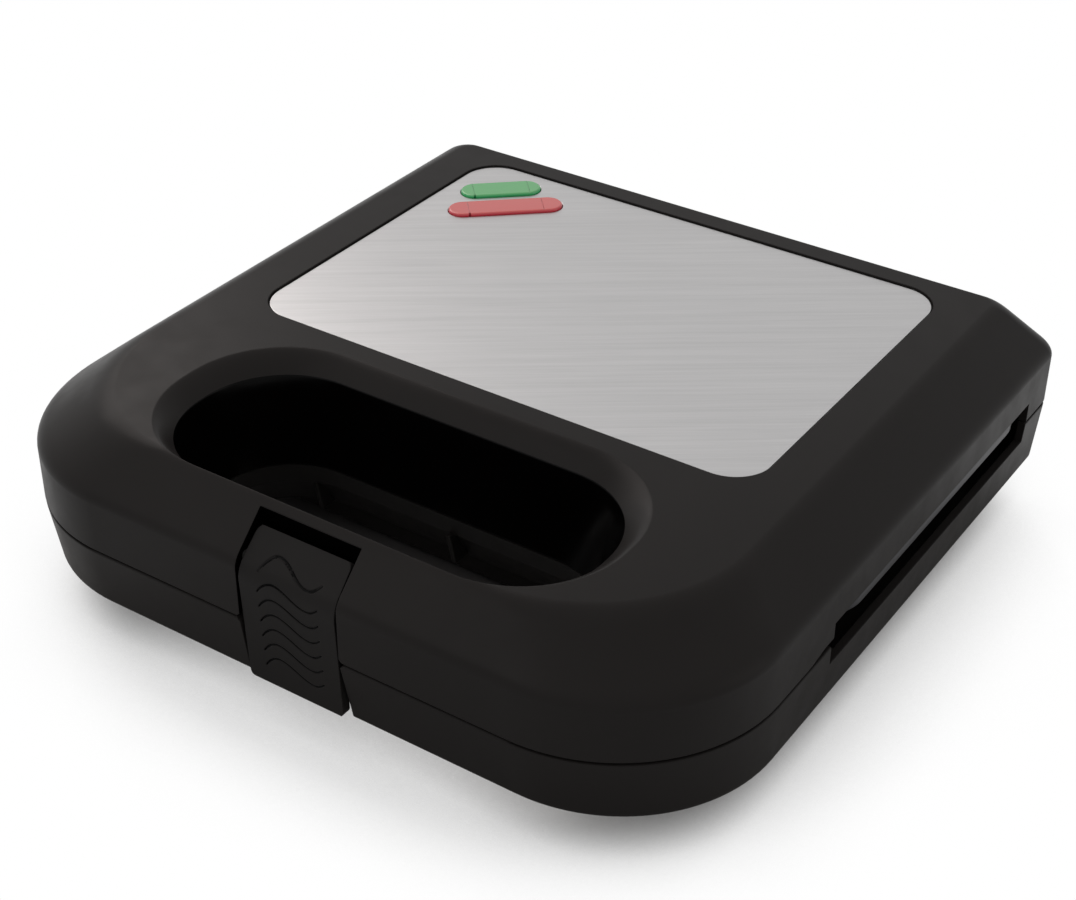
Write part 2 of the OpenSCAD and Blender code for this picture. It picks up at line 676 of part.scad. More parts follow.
module cord_gland() color([0.08, 0.08, 0.08]) translate([0, gland_seat_y, gland_z]) rotate([-90, 0, 0])
    difference() {
        union() {
            translate([0, 0, -wall - gland_tail]) cylinder(h = wall + gland_tail + 1, r = gland_r);
            cylinder(h = gland_flange_t, r = gland_flange_r);
        }
        translate([0, 0, -wall - gland_tail - CUT])
            cylinder(h = wall + gland_tail + gland_flange_t + 2 * CUT, r = gland_bore_r);
    }

module hinge_pins() color("silver") mirrored_x()
    along_x(ear_in, ear_out + ear_w, hinge_y, hinge_z, hinge_pin_r);

// ---------- lid ----------

module lid_housing() color([0.09, 0.085, 0.085]) difference() {
    union() {
        difference() {
            lid_outer();
            difference() {
                lid_inner();
                lid_grip(wall);
                recess_liner(lid_rim_z - CUT, recess_top_z + wall, 0);
            }
        }
        intersection() {
            lid_outer();
            at_wells() boss(skin_z + wall / 2, upper_rim_z + well_h);
        }
        at_studs() boss(skin_z + wall / 2, upper_shield_z + shield_t);
        // bosses that carry the latch pin
        mirrored_x() hull() {
            along_x(recess_w / 2 - 1, recess_w / 2 + 2 * wall, pivot_y, pivot_z, pin_boss_r);
            translate([recess_w / 2 - 1, pivot_y, pivot_z - pin_boss_r])
                cube([wall, recess_d - 2 * wall, 2 * pin_boss_r]);
        }
    }
    lid_grip(0);
    latch_recess(lid_rim_z - CUT, recess_top_z, 0, 0);
    seam_notches(lid_rim_z);
    side_slots(lid_rim_z - CUT, lid_rim_z + slot_h, 0);
    rim_reliefs();
    translate([0, panel_y, top_z - panel_recess]) linear_extrude(panel_recess + CUT) panel_shape(panel_gap);
    lamp_holes();
    hinge_window(lid_rim_z - CUT, hinge_z + knuckle_r + 1);
    along_x(-latch_pin_len / 2, latch_pin_len / 2, pivot_y, pivot_z, latch_pin_r + FIT, $fn = 32);
    at_wells() pilot(upper_rim_z, upper_rim_z + well_h + pilot_more);
    at_studs() pilot(upper_shield_z, upper_shield_z + upper_stud_screw_l + 1);
}

module panel_shape(g) {
    hw = panel_w / 2 + g;
    hd = panel_d / 2 + g;
    r = panel_r + g;
    translate([-hw, -hd + r]) square([2 * hw, 2 * hd - 2 * r]);
    translate([-hw + r, -hd]) square([2 * hw - 2 * r, 2 * hd]);
    for (sx = [-1, 1], sy = [-1, 1]) translate([sx * (hw - r), sy * (hd - r)]) circle(r = r);
}

module top_panel() color([0.75, 0.75, 0.74]) difference() {
    translate([0, panel_y, top_z - panel_recess]) linear_extrude(panel_t) panel_shape(0);
    lamp_holes();
}

// Holes for both lamp windows, through the lid's skin and the panel
module lamp_holes() {
    at_lamp(-1) pill(red_len + 2 * lamp_gap, lamp_w + 2 * lamp_gap, skin_z - CUT, top_z - skin_z + 2 * CUT);
    at_lamp(1) pill(green_len + 2 * lamp_gap, lamp_w + 2 * lamp_gap, skin_z - CUT, top_z - skin_z + 2 * CUT);
}

// Lens with a stepped crown, and a flange that bears on the ceiling of the lid
module lens(len) {
    lens_top = top_z - panel_recess + panel_t + lens_proud;
    pill(len, lamp_w, skin_z - EPS, lens_top - lens_step - skin_z + EPS);
    pill(len - 2 * lens_step, lamp_w - 2 * lens_step, lens_top - lens_step - EPS, lens_step + EPS);
    pill(len + 2 * flange_w, lamp_pitch - flange_gap, skin_z - lens_flange, lens_flange);
}

module red_lens() color([0.85, 0.12, 0.12, 0.8]) at_lamp(-1) lens(red_len);

module green_lens() color([0.1, 0.7, 0.3, 0.8]) at_lamp(1) lens(green_len);

// Tray under the lenses, hung from the ceiling by its two end walls
module lamp_holder() color([0.9, 0.9, 0.88]) at_lamp(0) {
    translate([-holder_l / 2, -holder_w / 2, holder_z]) cube([holder_l, holder_w, holder_t]);
    for (x = [-holder_l / 2, holder_l / 2 - holder_wall]) translate([x, -holder_w / 2, holder_z])
        cube([holder_wall, holder_w, skin_z - holder_z]);
}

// Neon lamp that lies on the tray
module neon() along_x(-lamp_l / 2, lamp_l / 2, 0, holder_z + holder_t + lamp_r, lamp_r);

module red_lamp() color([1, 0.5, 0.3]) at_lamp(-1) neon();

module green_lamp() color([0.6, 1, 0.7]) at_lamp(1) neon();

// ---------- latch ----------

bend_y = front_y - latch_proud;
bend_z = crease_z + 0.4;
tab_reach = 6.3;                          // how far the tab leans in over the front wall
flap_y = front_y + tab_reach;
flap_z = bend_z + (flap_y - bend_y) * lid_bevel_h / bevel_front;
latch_foot_z = bend_z - latch_len;
latch_back = bend_y + latch_t;
hook_y = front_y + recess_d - catch_reach + hook_bite;
hook_z = catch_z - hook_gap;
latch_pin_len = recess_w + 2 * wall;

module latch_section() polygon(concat(
    [[flap_y, flap_z]],
    blend([bend_y + 3, bend_z + 2.9], [bend_y, bend_z], [bend_y, bend_z - 4], 5),
    [[bend_y, latch_foot_z + 1.5], [bend_y + 0.4, latch_foot_z + 0.4], [bend_y + 1.4, latch_foot_z],
     [latch_back, latch_foot_z], [latch_back, bend_z - 2], [flap_y + 1.9, flap_z - 2]]));

// The latch seen from the front: rounded corners, and a tab that narrows to its top
latch_face = concat(
    arc([latch_w / 2 - latch_corner, latch_foot_z + latch_corner], latch_corner, -90, 5),
    [[latch_w / 2, bend_z]],
    arc([latch_w / 2 - tab_in - tab_corner, flap_z - tab_corner], tab_corner, 0, 4),
    arc([tab_in + tab_corner - latch_w / 2, flap_z - tab_corner], tab_corner, 90, 4),
    [[-latch_w / 2, bend_z]],
    arc([latch_corner - latch_w / 2, latch_foot_z + latch_corner], latch_corner, 180, 5));

module latch() color([0.1, 0.1, 0.1]) difference() {
    union() {
        intersection() {
            translate([-latch_w / 2, 0, 0]) rotate([90, 0, 90]) linear_extrude(latch_w) latch_section();
            translate([0, front_y + recess_d, 0]) rotate([90, 0, 0])
                linear_extrude(recess_d + latch_proud + CUT) polygon(latch_face);
        }
        // hook, a little narrower than the catch
        translate([1 - catch_w / 2, 0, 0]) rotate([90, 0, 90]) linear_extrude(catch_w - 2)
            polygon([
                [latch_back - 1, hook_z - hook_h],
                [latch_back + 0.8, hook_z - hook_h + 0.5],
                [hook_y, hook_z - hook_tip],
                [hook_y, hook_z],
                [latch_back - 1, hook_z]]);
        along_x(-latch_w / 2, latch_w / 2, pivot_y, pivot_z, latch_boss_r);
        translate([-latch_w / 2, latch_back - 1, pivot_z - latch_arm_h / 2])
            cube([latch_w, pivot_y - latch_back, latch_arm_h]);
    }
    along_x(-latch_w / 2 - CUT, latch_w / 2 + CUT, pivot_y, pivot_z, latch_pin_r + FIT);
}

module latch_pin() color("silver")
    along_x(-latch_pin_len / 2, latch_pin_len / 2, pivot_y, pivot_z, latch_pin_r);

// ---------- drawing ----------

base_housing();
rubber_feet();
lower_cooking_plate();
lower_plate_screws();
lower_heating_element();
lower_heat_shield();
lower_shield_screws();
thermostat();
thermal_fuse();
terminal_block();
cord_gland();
base_hinge_brackets();
hinge_pins();
lid_housing();
lid_hinge_brackets();
top_panel();
red_lens();
green_lens();
lamp_holder();
red_lamp();
green_lamp();
upper_cooking_plate();
upper_plate_screws();
upper_heating_element();
upper_heat_shield();
upper_shield_screws();
latch_pin();
latch();
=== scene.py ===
import logging
import math
from dataclasses import dataclass, field
from enum import Enum
from functools import reduce
from typing import Callable, Iterable, Sequence

import bmesh
import bpy
from mathutils import Matrix, Vector


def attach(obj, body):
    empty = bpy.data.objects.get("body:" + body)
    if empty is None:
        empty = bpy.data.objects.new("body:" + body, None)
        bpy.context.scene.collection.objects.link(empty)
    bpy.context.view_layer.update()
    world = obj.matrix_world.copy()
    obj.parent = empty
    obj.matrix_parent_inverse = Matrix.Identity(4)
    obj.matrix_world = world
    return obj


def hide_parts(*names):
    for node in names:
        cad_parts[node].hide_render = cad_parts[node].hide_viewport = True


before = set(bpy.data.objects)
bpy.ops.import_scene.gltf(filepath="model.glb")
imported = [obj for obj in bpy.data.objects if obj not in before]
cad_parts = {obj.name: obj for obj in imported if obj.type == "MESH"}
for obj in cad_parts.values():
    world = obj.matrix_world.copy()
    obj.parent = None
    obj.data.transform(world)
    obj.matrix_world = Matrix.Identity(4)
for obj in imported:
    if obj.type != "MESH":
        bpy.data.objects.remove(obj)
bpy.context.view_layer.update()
LOG = logging.getLogger("toaster")
MM = 0.001

Point2 = tuple[float, float]
Point3 = tuple[float, float, float]
Colour = tuple[float, float, float]
Ring = list[Point3]
Piece = bpy.types.Object
Socket = bpy.types.NodeSocket


class Body(Enum):
    """The toaster's moving bodies."""

    BASE = "base"
    LID = "lid"
    LATCH = "latch"


class Slot(Enum):
    """The material slots that the record names."""

    HOUSING = "housing_black"
    LATCH = "latch_black"
    PANEL = "panel_steel"
    LENS_RED = "lens_red"
    LENS_GREEN = "lens_green"
    LAMP = "lamp_glass"
    PLATE = "plate_coating"
    ELEMENT = "element_steel"
    SHIELD = "shield_sheet"
    HARDWARE = "hardware_steel"
    HINGE = "hinge_steel"
    STEATITE = "steatite"
    GLAND = "gland_black"
    FOOT = "foot_rubber"


# ---------------------------------------------------------------- sizes, in millimetres


@dataclass(frozen=True)
class ToasterSize:
    """Driving sizes that every sub-assembly works from."""

    width: float = 230.0
    depth: float = 222.0
    wall: float = 2.5
    foot_h: float = 4.0
    belly_h: float = 11.0
    base_skirt_h: float = 19.8
    seam_gap: float = 0.6
    lid_skirt_h: float = 17.8
    lid_bevel_h: float = 13.0
    latch_proud: float = 2.0
    hinge_back: float = 1.0
    knuckle_r: float = 5.5

    @property
    def half_w(self) -> float:
        """Half the width at the seam."""
        return self.width / 2

    @property
    def front_y(self) -> float:
        """Depth position of the front wall at the seam."""
        return self.latch_proud - (self.latch_proud + self.depth + self.hinge_back + self.knuckle_r) / 2

    @property
    def back_y(self) -> float:
        """Depth position of the back wall at the seam."""
        return self.front_y + self.depth

    @property
    def base_foot_z(self) -> float:
        """Height of the lower edge of the base skirt."""
        return self.foot_h + self.belly_h

    @property
    def base_rim_z(self) -> float:
        """Height of the base's rim."""
        return self.base_foot_z + self.base_skirt_h

    @property
    def lid_rim_z(self) -> float:
        """Height of the lid's rim."""
        return self.base_rim_z + self.seam_gap

    @property
    def crease_z(self) -> float:
        """Height at which the lid's bevel starts."""
        return self.lid_rim_z + self.lid_skirt_h

    @property
    def top_z(self) -> float:
        """Height of the lid's flat top."""
        return self.crease_z + self.lid_bevel_h

    @property
    def hinge_z(self) -> float:
        """Height of the hinge axis."""
        return (self.base_rim_z + self.lid_rim_z) / 2

    @property
    def plate_y(self) -> float:
        """Middle of the cooking plates in depth."""
        return self.front_y + 82 + 62


SIZE = ToasterSize()
# How far the cutters of the lid's hollow run past its rim.
PAST = 2.0
# The latch's catch: how far it comes forward from the back of the recess, and its underside below the rim.
CATCH_REACH = 8.8
CATCH_DROP = 8.0


# ---------------------------------------------------------------- mesh tools


def rounded_outline(
    half_w: float, front: float, rear: float, r_front: float, r_rear: float, steps: int
) -> list[Point2]:
    """Anticlockwise outline of a rectangle whose front and rear corners have their own radii.

    Args:
        half_w: Half the width.
        front: Lowest y.
        rear: Highest y.
        r_front: Radius of the two front corners.
        r_rear: Radius of the two rear corners.
        steps: Segments in each quarter turn.

    Returns:
        The outline's points.
    """
    corners = (
        (half_w - r_front, front + r_front, r_front, -90),
        (half_w - r_rear, rear - r_rear, r_rear, 0),
        (r_rear - half_w, rear - r_rear, r_rear, 90),
        (r_front - half_w, front + r_front, r_front, 180),
    )
    points: list[Point2] = []
    for cx, cy, radius, start in corners:
        for i in range(steps + 1):
            turn = math.radians(start + 90 * i / steps)
            points.append((cx + radius * math.cos(turn), cy + radius * math.sin(turn)))
    return points


def at_height(outline: Iterable[Point2], z: float) -> Ring:
    """Ring of an outline at a height."""
    return [(x, y, z) for x, y in outline]


def upright(outline: Sequence[Point2], depths: Iterable[float]) -> list[Ring]:
    """Rings of an (x, z) outline at some depths."""
    return [[(x, y, z) for x, z in outline] for y in depths]


def circle(centre: Point2, radius: float, count: int) -> list[Point2]:
    """Points round a circle, in even steps."""
    turns = [math.radians(i * 360 // count) for i in range(count)]
    return [(centre[0] + radius * math.cos(a), centre[1] + radius * math.sin(a)) for a in turns]


def blend_curve(a: Point2, b: Point2, c: Point2, steps: int) -> list[Point2]:
    """Quadratic curve from a to c that rounds the corner b.

    Args:
        a: First point.
        b: The sharp corner.
        c: Last point.
        steps: Number of segments.

    Returns:
        Points along the curve, both ends included.
    """
    out: list[Point2] = []
    for i in range(steps + 1):
        t = i / steps
        u = 1 - t
        x, y = (u * u * start + 2 * t * u * corner + t * t * end for start, corner, end in zip(a, b, c))
        out.append((x, y))
    return out


def new_object(name: str, bm: bmesh.types.BMesh) -> Piece:
    """Turns a bmesh in millimetres into an object in metres.

    Args:
        name: Name of the object and its mesh.
        bm: The mesh, freed here.

    Returns:
        The linked object.
    """
    bmesh.ops.scale(bm, vec=(MM, MM, MM), verts=bm.verts)
    mesh = bpy.data.meshes.new(name)
    bm.to_mesh(mesh)
    bm.free()
    obj = bpy.data.objects.new(name, mesh)
    bpy.context.scene.collection.objects.link(obj)
    return obj


def join_rows(bm: bmesh.types.BMesh, rows: Sequence[Sequence[bmesh.types.BMVert]]) -> None:
    """Adds a band of quads between each row of points and the next, closed round.

    Args:
        bm: The mesh.
        rows: Rows of equal length.
    """
    for low, high in zip(rows, rows[1:]):
        for i in range(len(low)):
            j = (i + 1) % len(low)
            bm.faces.new((low[i], low[j], high[j], high[i]))


def loft(name: str, rings: Sequence[Sequence[Point3]]) -> Piece:
    """Closed skin through rings of equal length, listed from the bottom up.

    Args:
        name: Name of the new object.
        rings: Anticlockwise rings, seen from above.

    Returns:
        The new object.
    """
    bm = bmesh.new()
    rows = [[bm.verts.new(p) for p in ring] for ring in rings]
    bm.faces.new(list(reversed(rows[0])))
    bm.faces.new(rows[-1])
    join_rows(bm, rows)
    bmesh.ops.remove_doubles(bm, verts=bm.verts, dist=1e-5)
    bmesh.ops.recalc_face_normals(bm, faces=bm.faces)
    return new_object(name, bm)


def block(name: str, low: Point3, high: Point3) -> Piece:
    """Cutter or liner between two corners.

    Args:
        name: Name of the new object.
        low: Lowest corner.
        high: Highest corner.

    Returns:
        The new object.
    """
    ring = [(low[0], low[1]), (high[0], low[1]), (high[0], high[1]), (low[0], high[1])]
    return loft(name, [at_height(ring, low[2]), at_height(ring, high[2])])


def prism(name: str, profile: Sequence[Point2], x0: float, x1: float) -> Piece:
    """Extrudes a (y, z) profile along x.

    Args:
        name: Name of the new object.
        profile: Profile points, in order round the shape.
        x0: Start of the extrusion.
        x1: End of the extrusion.

    Returns:
        The new object.
    """
    bm = bmesh.new()
    near = [bm.verts.new((x0, y, z)) for y, z in profile]
    far = [bm.verts.new((x1, y, z)) for y, z in profile]
    bm.faces.new(near)
    bm.faces.new(list(reversed(far)))
    for i in range(len(profile)):
        j = (i + 1) % len(profile)
        bm.faces.new((near[j], near[i], far[i], far[j]))
    bmesh.ops.recalc_face_normals(bm, faces=bm.faces)
    return new_object(name, bm)


def lathe(name: str, profile: Sequence[Point2], steps: int = 48) -> Piece:
    """Turns an (r, z) profile round the z axis.

    Args:
        name: Name of the new object.
        profile: Points from the axis out and back to the axis.
        steps: Segments round the turn.

    Returns:
        The new object.
    """
    bm = bmesh.new()
    turns = [2 * math.pi * i / steps for i in range(steps)]
    rows = []
    for radius, z in profile:
        rows.append([bm.verts.new((radius * math.cos(a), radius * math.sin(a), z)) for a in turns])
    join_rows(bm, rows)
    bmesh.ops.remove_doubles(bm, verts=bm.verts, dist=1e-5)
    bmesh.ops.dissolve_degenerate(bm, edges=bm.edges, dist=1e-6)
    bmesh.ops.recalc_face_normals(bm, faces=bm.faces)
    return new_object(name, bm)


def tube(name: str, path: Sequence[Vector], radius: Callable[[float], float], sides: int = 12) -> Piece:
    """Round tube along a path, closed at both ends.

    Args:
        name: Name of the new object.
        path: Centre line.
        radius: Radius as a function of the share of the path, 0 to 1.
        sides: Sides of the tube.

    Returns:
        The new object.
    """
    bm = bmesh.new()
    rows = []
    up = Vector((0, 0, 1))
    turns = [2 * math.pi * i / sides for i in range(sides)]
    for k, point in enumerate(path):
        ahead = path[min(k + 1, len(path) - 1)] - path[max(k - 1, 0)]
        ahead.normalize()
        side = ahead.cross(up)
        side = side.normalized() if side.length > 1e-4 else Vector((1, 0, 0))
        over = side.cross(ahead)
        size = radius(k / (len(path) - 1))
        spokes = [side * size * math.cos(a) + over * size * math.sin(a) for a in turns]
        rows.append([bm.verts.new(point + spoke) for spoke in spokes])
    join_rows(bm, rows)
    bm.faces.new(list(reversed(rows[0])))
    bm.faces.new(rows[-1])
    bmesh.ops.recalc_face_normals(bm, faces=bm.faces)
    return new_object(name, bm)


def combine(obj: Piece, others: Iterable[Piece], operation: str) -> Piece:
    """Cuts the others from obj, or joins them to it, and removes them.

    Args:
        obj: The object that changes.
        others: The cutters, or the pieces to join.
        operation: DIFFERENCE, UNION or INTERSECT.

    Returns:
        The changed object.
    """
    tools = list(others)
    for tool in tools:
        change = obj.modifiers.new(operation.lower(), "BOOLEAN")
        change.operation = operation
        change.solver = "EXACT"
        change.object = tool
    graph = bpy.context.evaluated_depsgraph_get()
    mesh = bpy.data.meshes.new_from_object(obj.evaluated_get(graph))
    old = obj.data
    obj.modifiers.clear()
    obj.data = mesh
    mesh.name = obj.name
    bpy.data.meshes.remove(old)
    for tool in tools:
        data = tool.data
        bpy.data.objects.remove(tool)
        bpy.data.meshes.remove(data)
    return obj


def move(obj: Piece, *steps: Matrix) -> Piece:
    """Moves an object's mesh.

    Args:
        obj: The object.
        steps: The moves, of which the last one comes first.

    Returns:
        The same object.
    """
    whole = Matrix.Identity(4)
    for step in steps:
        whole = whole @ step
    obj.data.transform(whole)
    return obj


def shift(x: float, y: float, z: float = 0.0) -> Matrix:
    """A move by some millimetres."""
    return Matrix.Translation((x * MM, y * MM, z * MM))


def copy_to(obj: Piece, moves: Iterable[Matrix]) -> Piece:
    """Replaces an object's mesh by moved copies of it.

    Args:
        obj: The object.
        moves: One move for each copy.

    Returns:
        The same object.
    """
    bm = bmesh.new()
    for step in moves:
        copy = obj.data.copy()
        copy.transform(step)
        bm.from_mesh(copy)
        bpy.data.meshes.remove(copy)
    bm.to_mesh(obj.data)
    bm.free()
    return obj


def smooth(obj: Piece, angle: float = 32.0, bevel: float = 0.0, segments: int = 2) -> Piece:
    """Smooth shading with sharp creases kept, and weighted normals so that flat faces stay flat.

    Args:
        obj: The object.
        angle: Edges sharper than this, in degrees, stay sharp.
        bevel: Width of a rounded edge in millimetres, or 0 for none.
        segments: Segments of the rounded edge.

    Returns:
        The same object.
    """
    mesh = obj.data
    mesh.polygons.foreach_set("use_smooth", [True] * len(mesh.polygons))
    mesh.set_sharp_from_angle(angle=math.radians(angle))
    if bevel > 0:
        rounding = obj.modifiers.new("edge_round", "BEVEL")
        rounding.width = bevel * MM
        rounding.segments = segments
        rounding.limit_method = "ANGLE"
        rounding.angle_limit = math.radians(angle + 8)
        rounding.use_clamp_overlap = True
        rounding.harden_normals = False
    weighting = obj.modifiers.new("flat_faces", "WEIGHTED_NORMAL")
    weighting.keep_sharp = True
    return obj


def settle(obj: Piece, body: Body, finish: "Finish", nodes: Sequence[str] = ()) -> None:
    """Gives a piece its finish, its body and the CAD nodes that it stands for.

    Args:
        obj: The piece.
        body: The body that it moves with.
        finish: Its finish.
        nodes: CAD nodes that it replaces.
    """
    obj.data.materials.clear()
    obj.data.materials.append(finish.material())
    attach(obj, body.value)
    if nodes:
        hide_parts(*nodes)
    LOG.info("%s on %s, %d faces", obj.name, body.value, len(obj.data.polygons))


def second_finish(obj: Piece, finish: "Finish", chosen: Callable[[Vector], bool]) -> None:
    """Gives some of a piece's faces another finish.

    Args:
        obj: The piece.
        finish: The other finish.
        chosen: Tells from the middle of a face, in millimetres, whether the face takes it.
    """
    obj.data.materials.append(finish.material())
    for face in obj.data.polygons:
        if chosen(face.center / MM):
            face.material_index = 1


# ---------------------------------------------------------------- finishes


def add_node(tree: bpy.types.NodeTree, kind: str, **settings: object) -> bpy.types.Node:
    """Adds a node to a tree.

    Args:
        tree: The node tree.
        kind: Node type without the ShaderNode prefix.
        settings: Attributes, or input values where the name is an input.

    Returns:
        The node.
    """
    made = tree.nodes.new("ShaderNode" + kind)
    for key, value in settings.items():
        if hasattr(made, key) and key not in made.inputs:
            setattr(made, key, value)
        else:
            made.inputs[key.replace("_", " ")].default_value = value
    return made


def two_way(tree: bpy.types.NodeTree, operation: str, a: Socket, b: Socket) -> Socket:
    """Adds a Math node for two values.

    Args:
        tree: The node tree.
        operation: What it does.
        a: The first value.
        b: The second value.

    Returns:
        The result's socket.
    """
    made = add_node(tree, "Math", operation=operation)
    tree.links.new(a, made.inputs[0])
    tree.links.new(b, made.inputs[1])
    return made.outputs[0]


def strongest(tree: bpy.types.NodeTree, sockets: Sequence[Socket]) -> Socket:
    """The highest of one or more values."""
    return reduce(lambda a, b: two_way(tree, "MAXIMUM", a, b), sockets)


def blend_shaders(tree: bpy.types.NodeTree, share: Socket, low: Socket, high: Socket, out: Socket) -> None:
    """Blends two shaders.

    Args:
        tree: The node tree.
        share: Share of the second shader.
        low: The first shader.
        high: The second shader.
        out: The output's socket, which takes the blend.
    """
    blend = add_node(tree, "MixShader")
    for source, target in zip((share, low, high), blend.inputs):
        tree.links.new(source, target)
    tree.links.new(blend.outputs[0], out)


class Graph:
    """Small helper that builds one material's node tree."""

    def __init__(self, name: str) -> None:
        """Starts a material with a Principled shader.

        Args:
            name: Name of the material.
        """
        self.material = bpy.data.materials.new(name)
        self.material.use_nodes = True
        self.tree = self.material.node_tree
        self.tree.nodes.clear()
        self.out = self.tree.nodes.new("ShaderNodeOutputMaterial")
        self.shader = self.tree.nodes.new("ShaderNodeBsdfPrincipled")
        self.tree.links.new(self.shader.outputs[0], self.out.inputs[0])

    def set(self, **values: object) -> None:
        """Sets plain numbers and colours on the Principled shader, by socket name with _ for a space."""
        for key, value in values.items():
            self.shader.inputs[key.replace("_", " ")].default_value = value

    def node(self, kind: str, **settings: object) -> bpy.types.Node:
        """Adds a node, as add_node does."""
        return add_node(self.tree, kind, **settings)

    def link(self, source: Socket, target: Socket) -> None:
        """Links two sockets."""
        self.tree.links.new(source, target)

    def place(self, scale: Point3 = (1, 1, 1), turn: float = 0.0) -> Socket:
        """Object coordinates in millimetres, turned about z and then stretched.

        Args:
            scale: How far the texture stretches along each axis, in millimetres.
            turn: Turn about z in degrees.

        Returns:
            The vector socket.
        """
        coords = self.node("TexCoord")
        mapping = self.node("Mapping", vector_type="TEXTURE")
        mapping.inputs["Scale"].default_value = tuple(s * MM for s in scale)
        mapping.inputs["Rotation"].default_value = (0, 0, math.radians(turn))
        self.link(coords.outputs["Object"], mapping.inputs["Vector"])
        return mapping.outputs[0]

    def noise(self, where: Socket, detail: float = 3.0, rough: float = 0.5) -> Socket:
        """Noise of unit scale at a place.

        Args:
            where: Vector socket.
            detail: Octaves.
            rough: Share of the fine octaves.

        Returns:
            The value socket.
        """
        made = self.node("TexNoise", Scale=1.0, Detail=detail, Roughness=rough)
        self.link(where, made.inputs["Vector"])
        return made.outputs[0]

    def ramp(self, value: Socket, low: float, high: float, to: Point2) -> Socket:
        """Maps a value to another range, clamped.

        Args:
            value: The value.
            low: Value that gives the first number.
            high: Value that gives the second number.
            to: The two numbers.

        Returns:
            The value socket.
        """
        made = self.node("MapRange")
        for key, number in zip(("From Min", "From Max", "To Min", "To Max"), (low, high, *to)):
            made.inputs[key].default_value = number
        self.link(value, made.inputs["Value"])
        return made.outputs[0]

    def even(self, size: float, detail: float = 3.0, rough: float = 0.5) -> Socket:
        """Noise of one size, in millimetres, along every axis."""
        return self.noise(self.place((size, size, size)), detail, rough)

    def tint(self, share: Socket, a: Colour | Socket, b: Colour | Socket) -> None:
        """Links a mix of two colours to the shader's colour."""
        self.link(self.mix(share, a, b), self.shader.inputs["Base Color"])

    def gloss(self, value: Socket, low: float, high: float, to: Point2) -> None:
        """Links a ramp to the shader's roughness."""
        self.link(self.ramp(value, low, high, to), self.shader.inputs["Roughness"])

    def mix(self, share: Socket, a: Colour | Socket, b: Colour | Socket) -> Socket:
        """Mixes two colours.

        Args:
            share: Share of the second one.
            a: The first colour, or a socket that gives it.
            b: The second colour, or a socket that gives it.

        Returns:
            The colour socket.
        """
        made = self.node("Mix", data_type="RGBA")
        self.link(share, made.inputs[0])
        for colour, end in ((a, made.inputs[6]), (b, made.inputs[7])):
            if isinstance(colour, tuple):
                end.default_value = (*colour, 1)
            else:
                self.link(colour, end)
        return made.outputs[2]

    def bump(
        self, height: Socket, distance: float, strength: float = 1.0, edge: float = 0.0
    ) -> bpy.types.Node:
        """Bump on top of an optional rounded edge, linked to the shader's normal.

        Args:
            height: Height socket, 0 to 1.
            distance: Depth of the relief in millimetres.
            strength: Strength of the effect.
            edge: Radius of the rounded edge in millimetres.

        Returns:
            The bump node.
        """
        made = self.node("Bump", Strength=strength, Distance=distance * MM)
        self.link(height, made.inputs["Height"])
        if edge > 0:
            rounded = self.node("Bevel", samples=4, Radius=edge * MM)
            self.link(rounded.outputs[0], made.inputs["Normal"])
        self.link(made.outputs[0], self.shader.inputs["Normal"])
        return made


@dataclass(frozen=True)
class Finish:
    """A finish: a named procedural material, made once."""

    name: str

    def material(self) -> bpy.types.Material:
        """The material, built on first use."""
        found = bpy.data.materials.get(self.name)
        return found if found else self.build()

    def build(self) -> bpy.types.Material:
        """Builds the material."""
        raise NotImplementedError


@dataclass(frozen=True)
class MouldedPlastic(Finish):
    """Moulded plastic with a fine spark-eroded grain and a soft gloss."""

    base: Colour = (0.0135, 0.0122, 0.0118)
    worn: Colour = (0.0175, 0.0158, 0.0152)
    roughness: Point2 = (0.3, 0.38)
    sheen: float = 0.06
    grain: float = 0.0035
    edge: float = 0.45

    def build(self) -> bpy.types.Material:
        """Builds the plastic: colour drift, uneven gloss, grain and rounded edges.

        Returns:
            The material.
        """
        graph = Graph(self.name)
        graph.set(IOR=1.5, Specular_IOR_Level=self.sheen)
        drift = graph.even(38, 2)
        fine = graph.even(0.5, 2, 0.6)
        graph.tint(drift, self.base, self.worn)
        uneven = graph.even(9, 4, 0.55)
        graph.gloss(uneven, 0.35, 0.65, self.roughness)
        graph.bump(fine, self.grain, 1.0, self.edge)
        return graph.material


@dataclass(frozen=True)
class BrushedSteel(Finish):
    """Steel sheet brushed along one direction."""

    base: Colour = (0.42, 0.415, 0.417)
    light: Colour = (0.51, 0.505, 0.507)
    turn: float = 36.0
    roughness: Point2 = (0.3, 0.4)
    stroke: float = 26.0
    pitch: float = 0.28

    def build(self) -> bpy.types.Material:
        """Builds the steel: long hair lines in colour, gloss and relief.

        Returns:
            The material.
        """
        graph = Graph(self.name)
        graph.set(Metallic=1.0)
        hair = graph.noise(graph.place((self.stroke, self.pitch, self.pitch), self.turn), 3, 0.65)
        band = graph.noise(graph.place((self.stroke * 4, self.pitch * 7, 1), self.turn), 3, 0.6)
        fine = graph.ramp(hair, 0.3, 0.7, (0.0, 0.65))
        broad = graph.ramp(band, 0.35, 0.65, (0.0, 0.35))
        graph.tint(two_way(graph.tree, "ADD", fine, broad), self.base, self.light)
        graph.gloss(hair, 0.3, 0.7, self.roughness)
        graph.bump(hair, 0.004, 0.6, 0.15)
        return graph.material


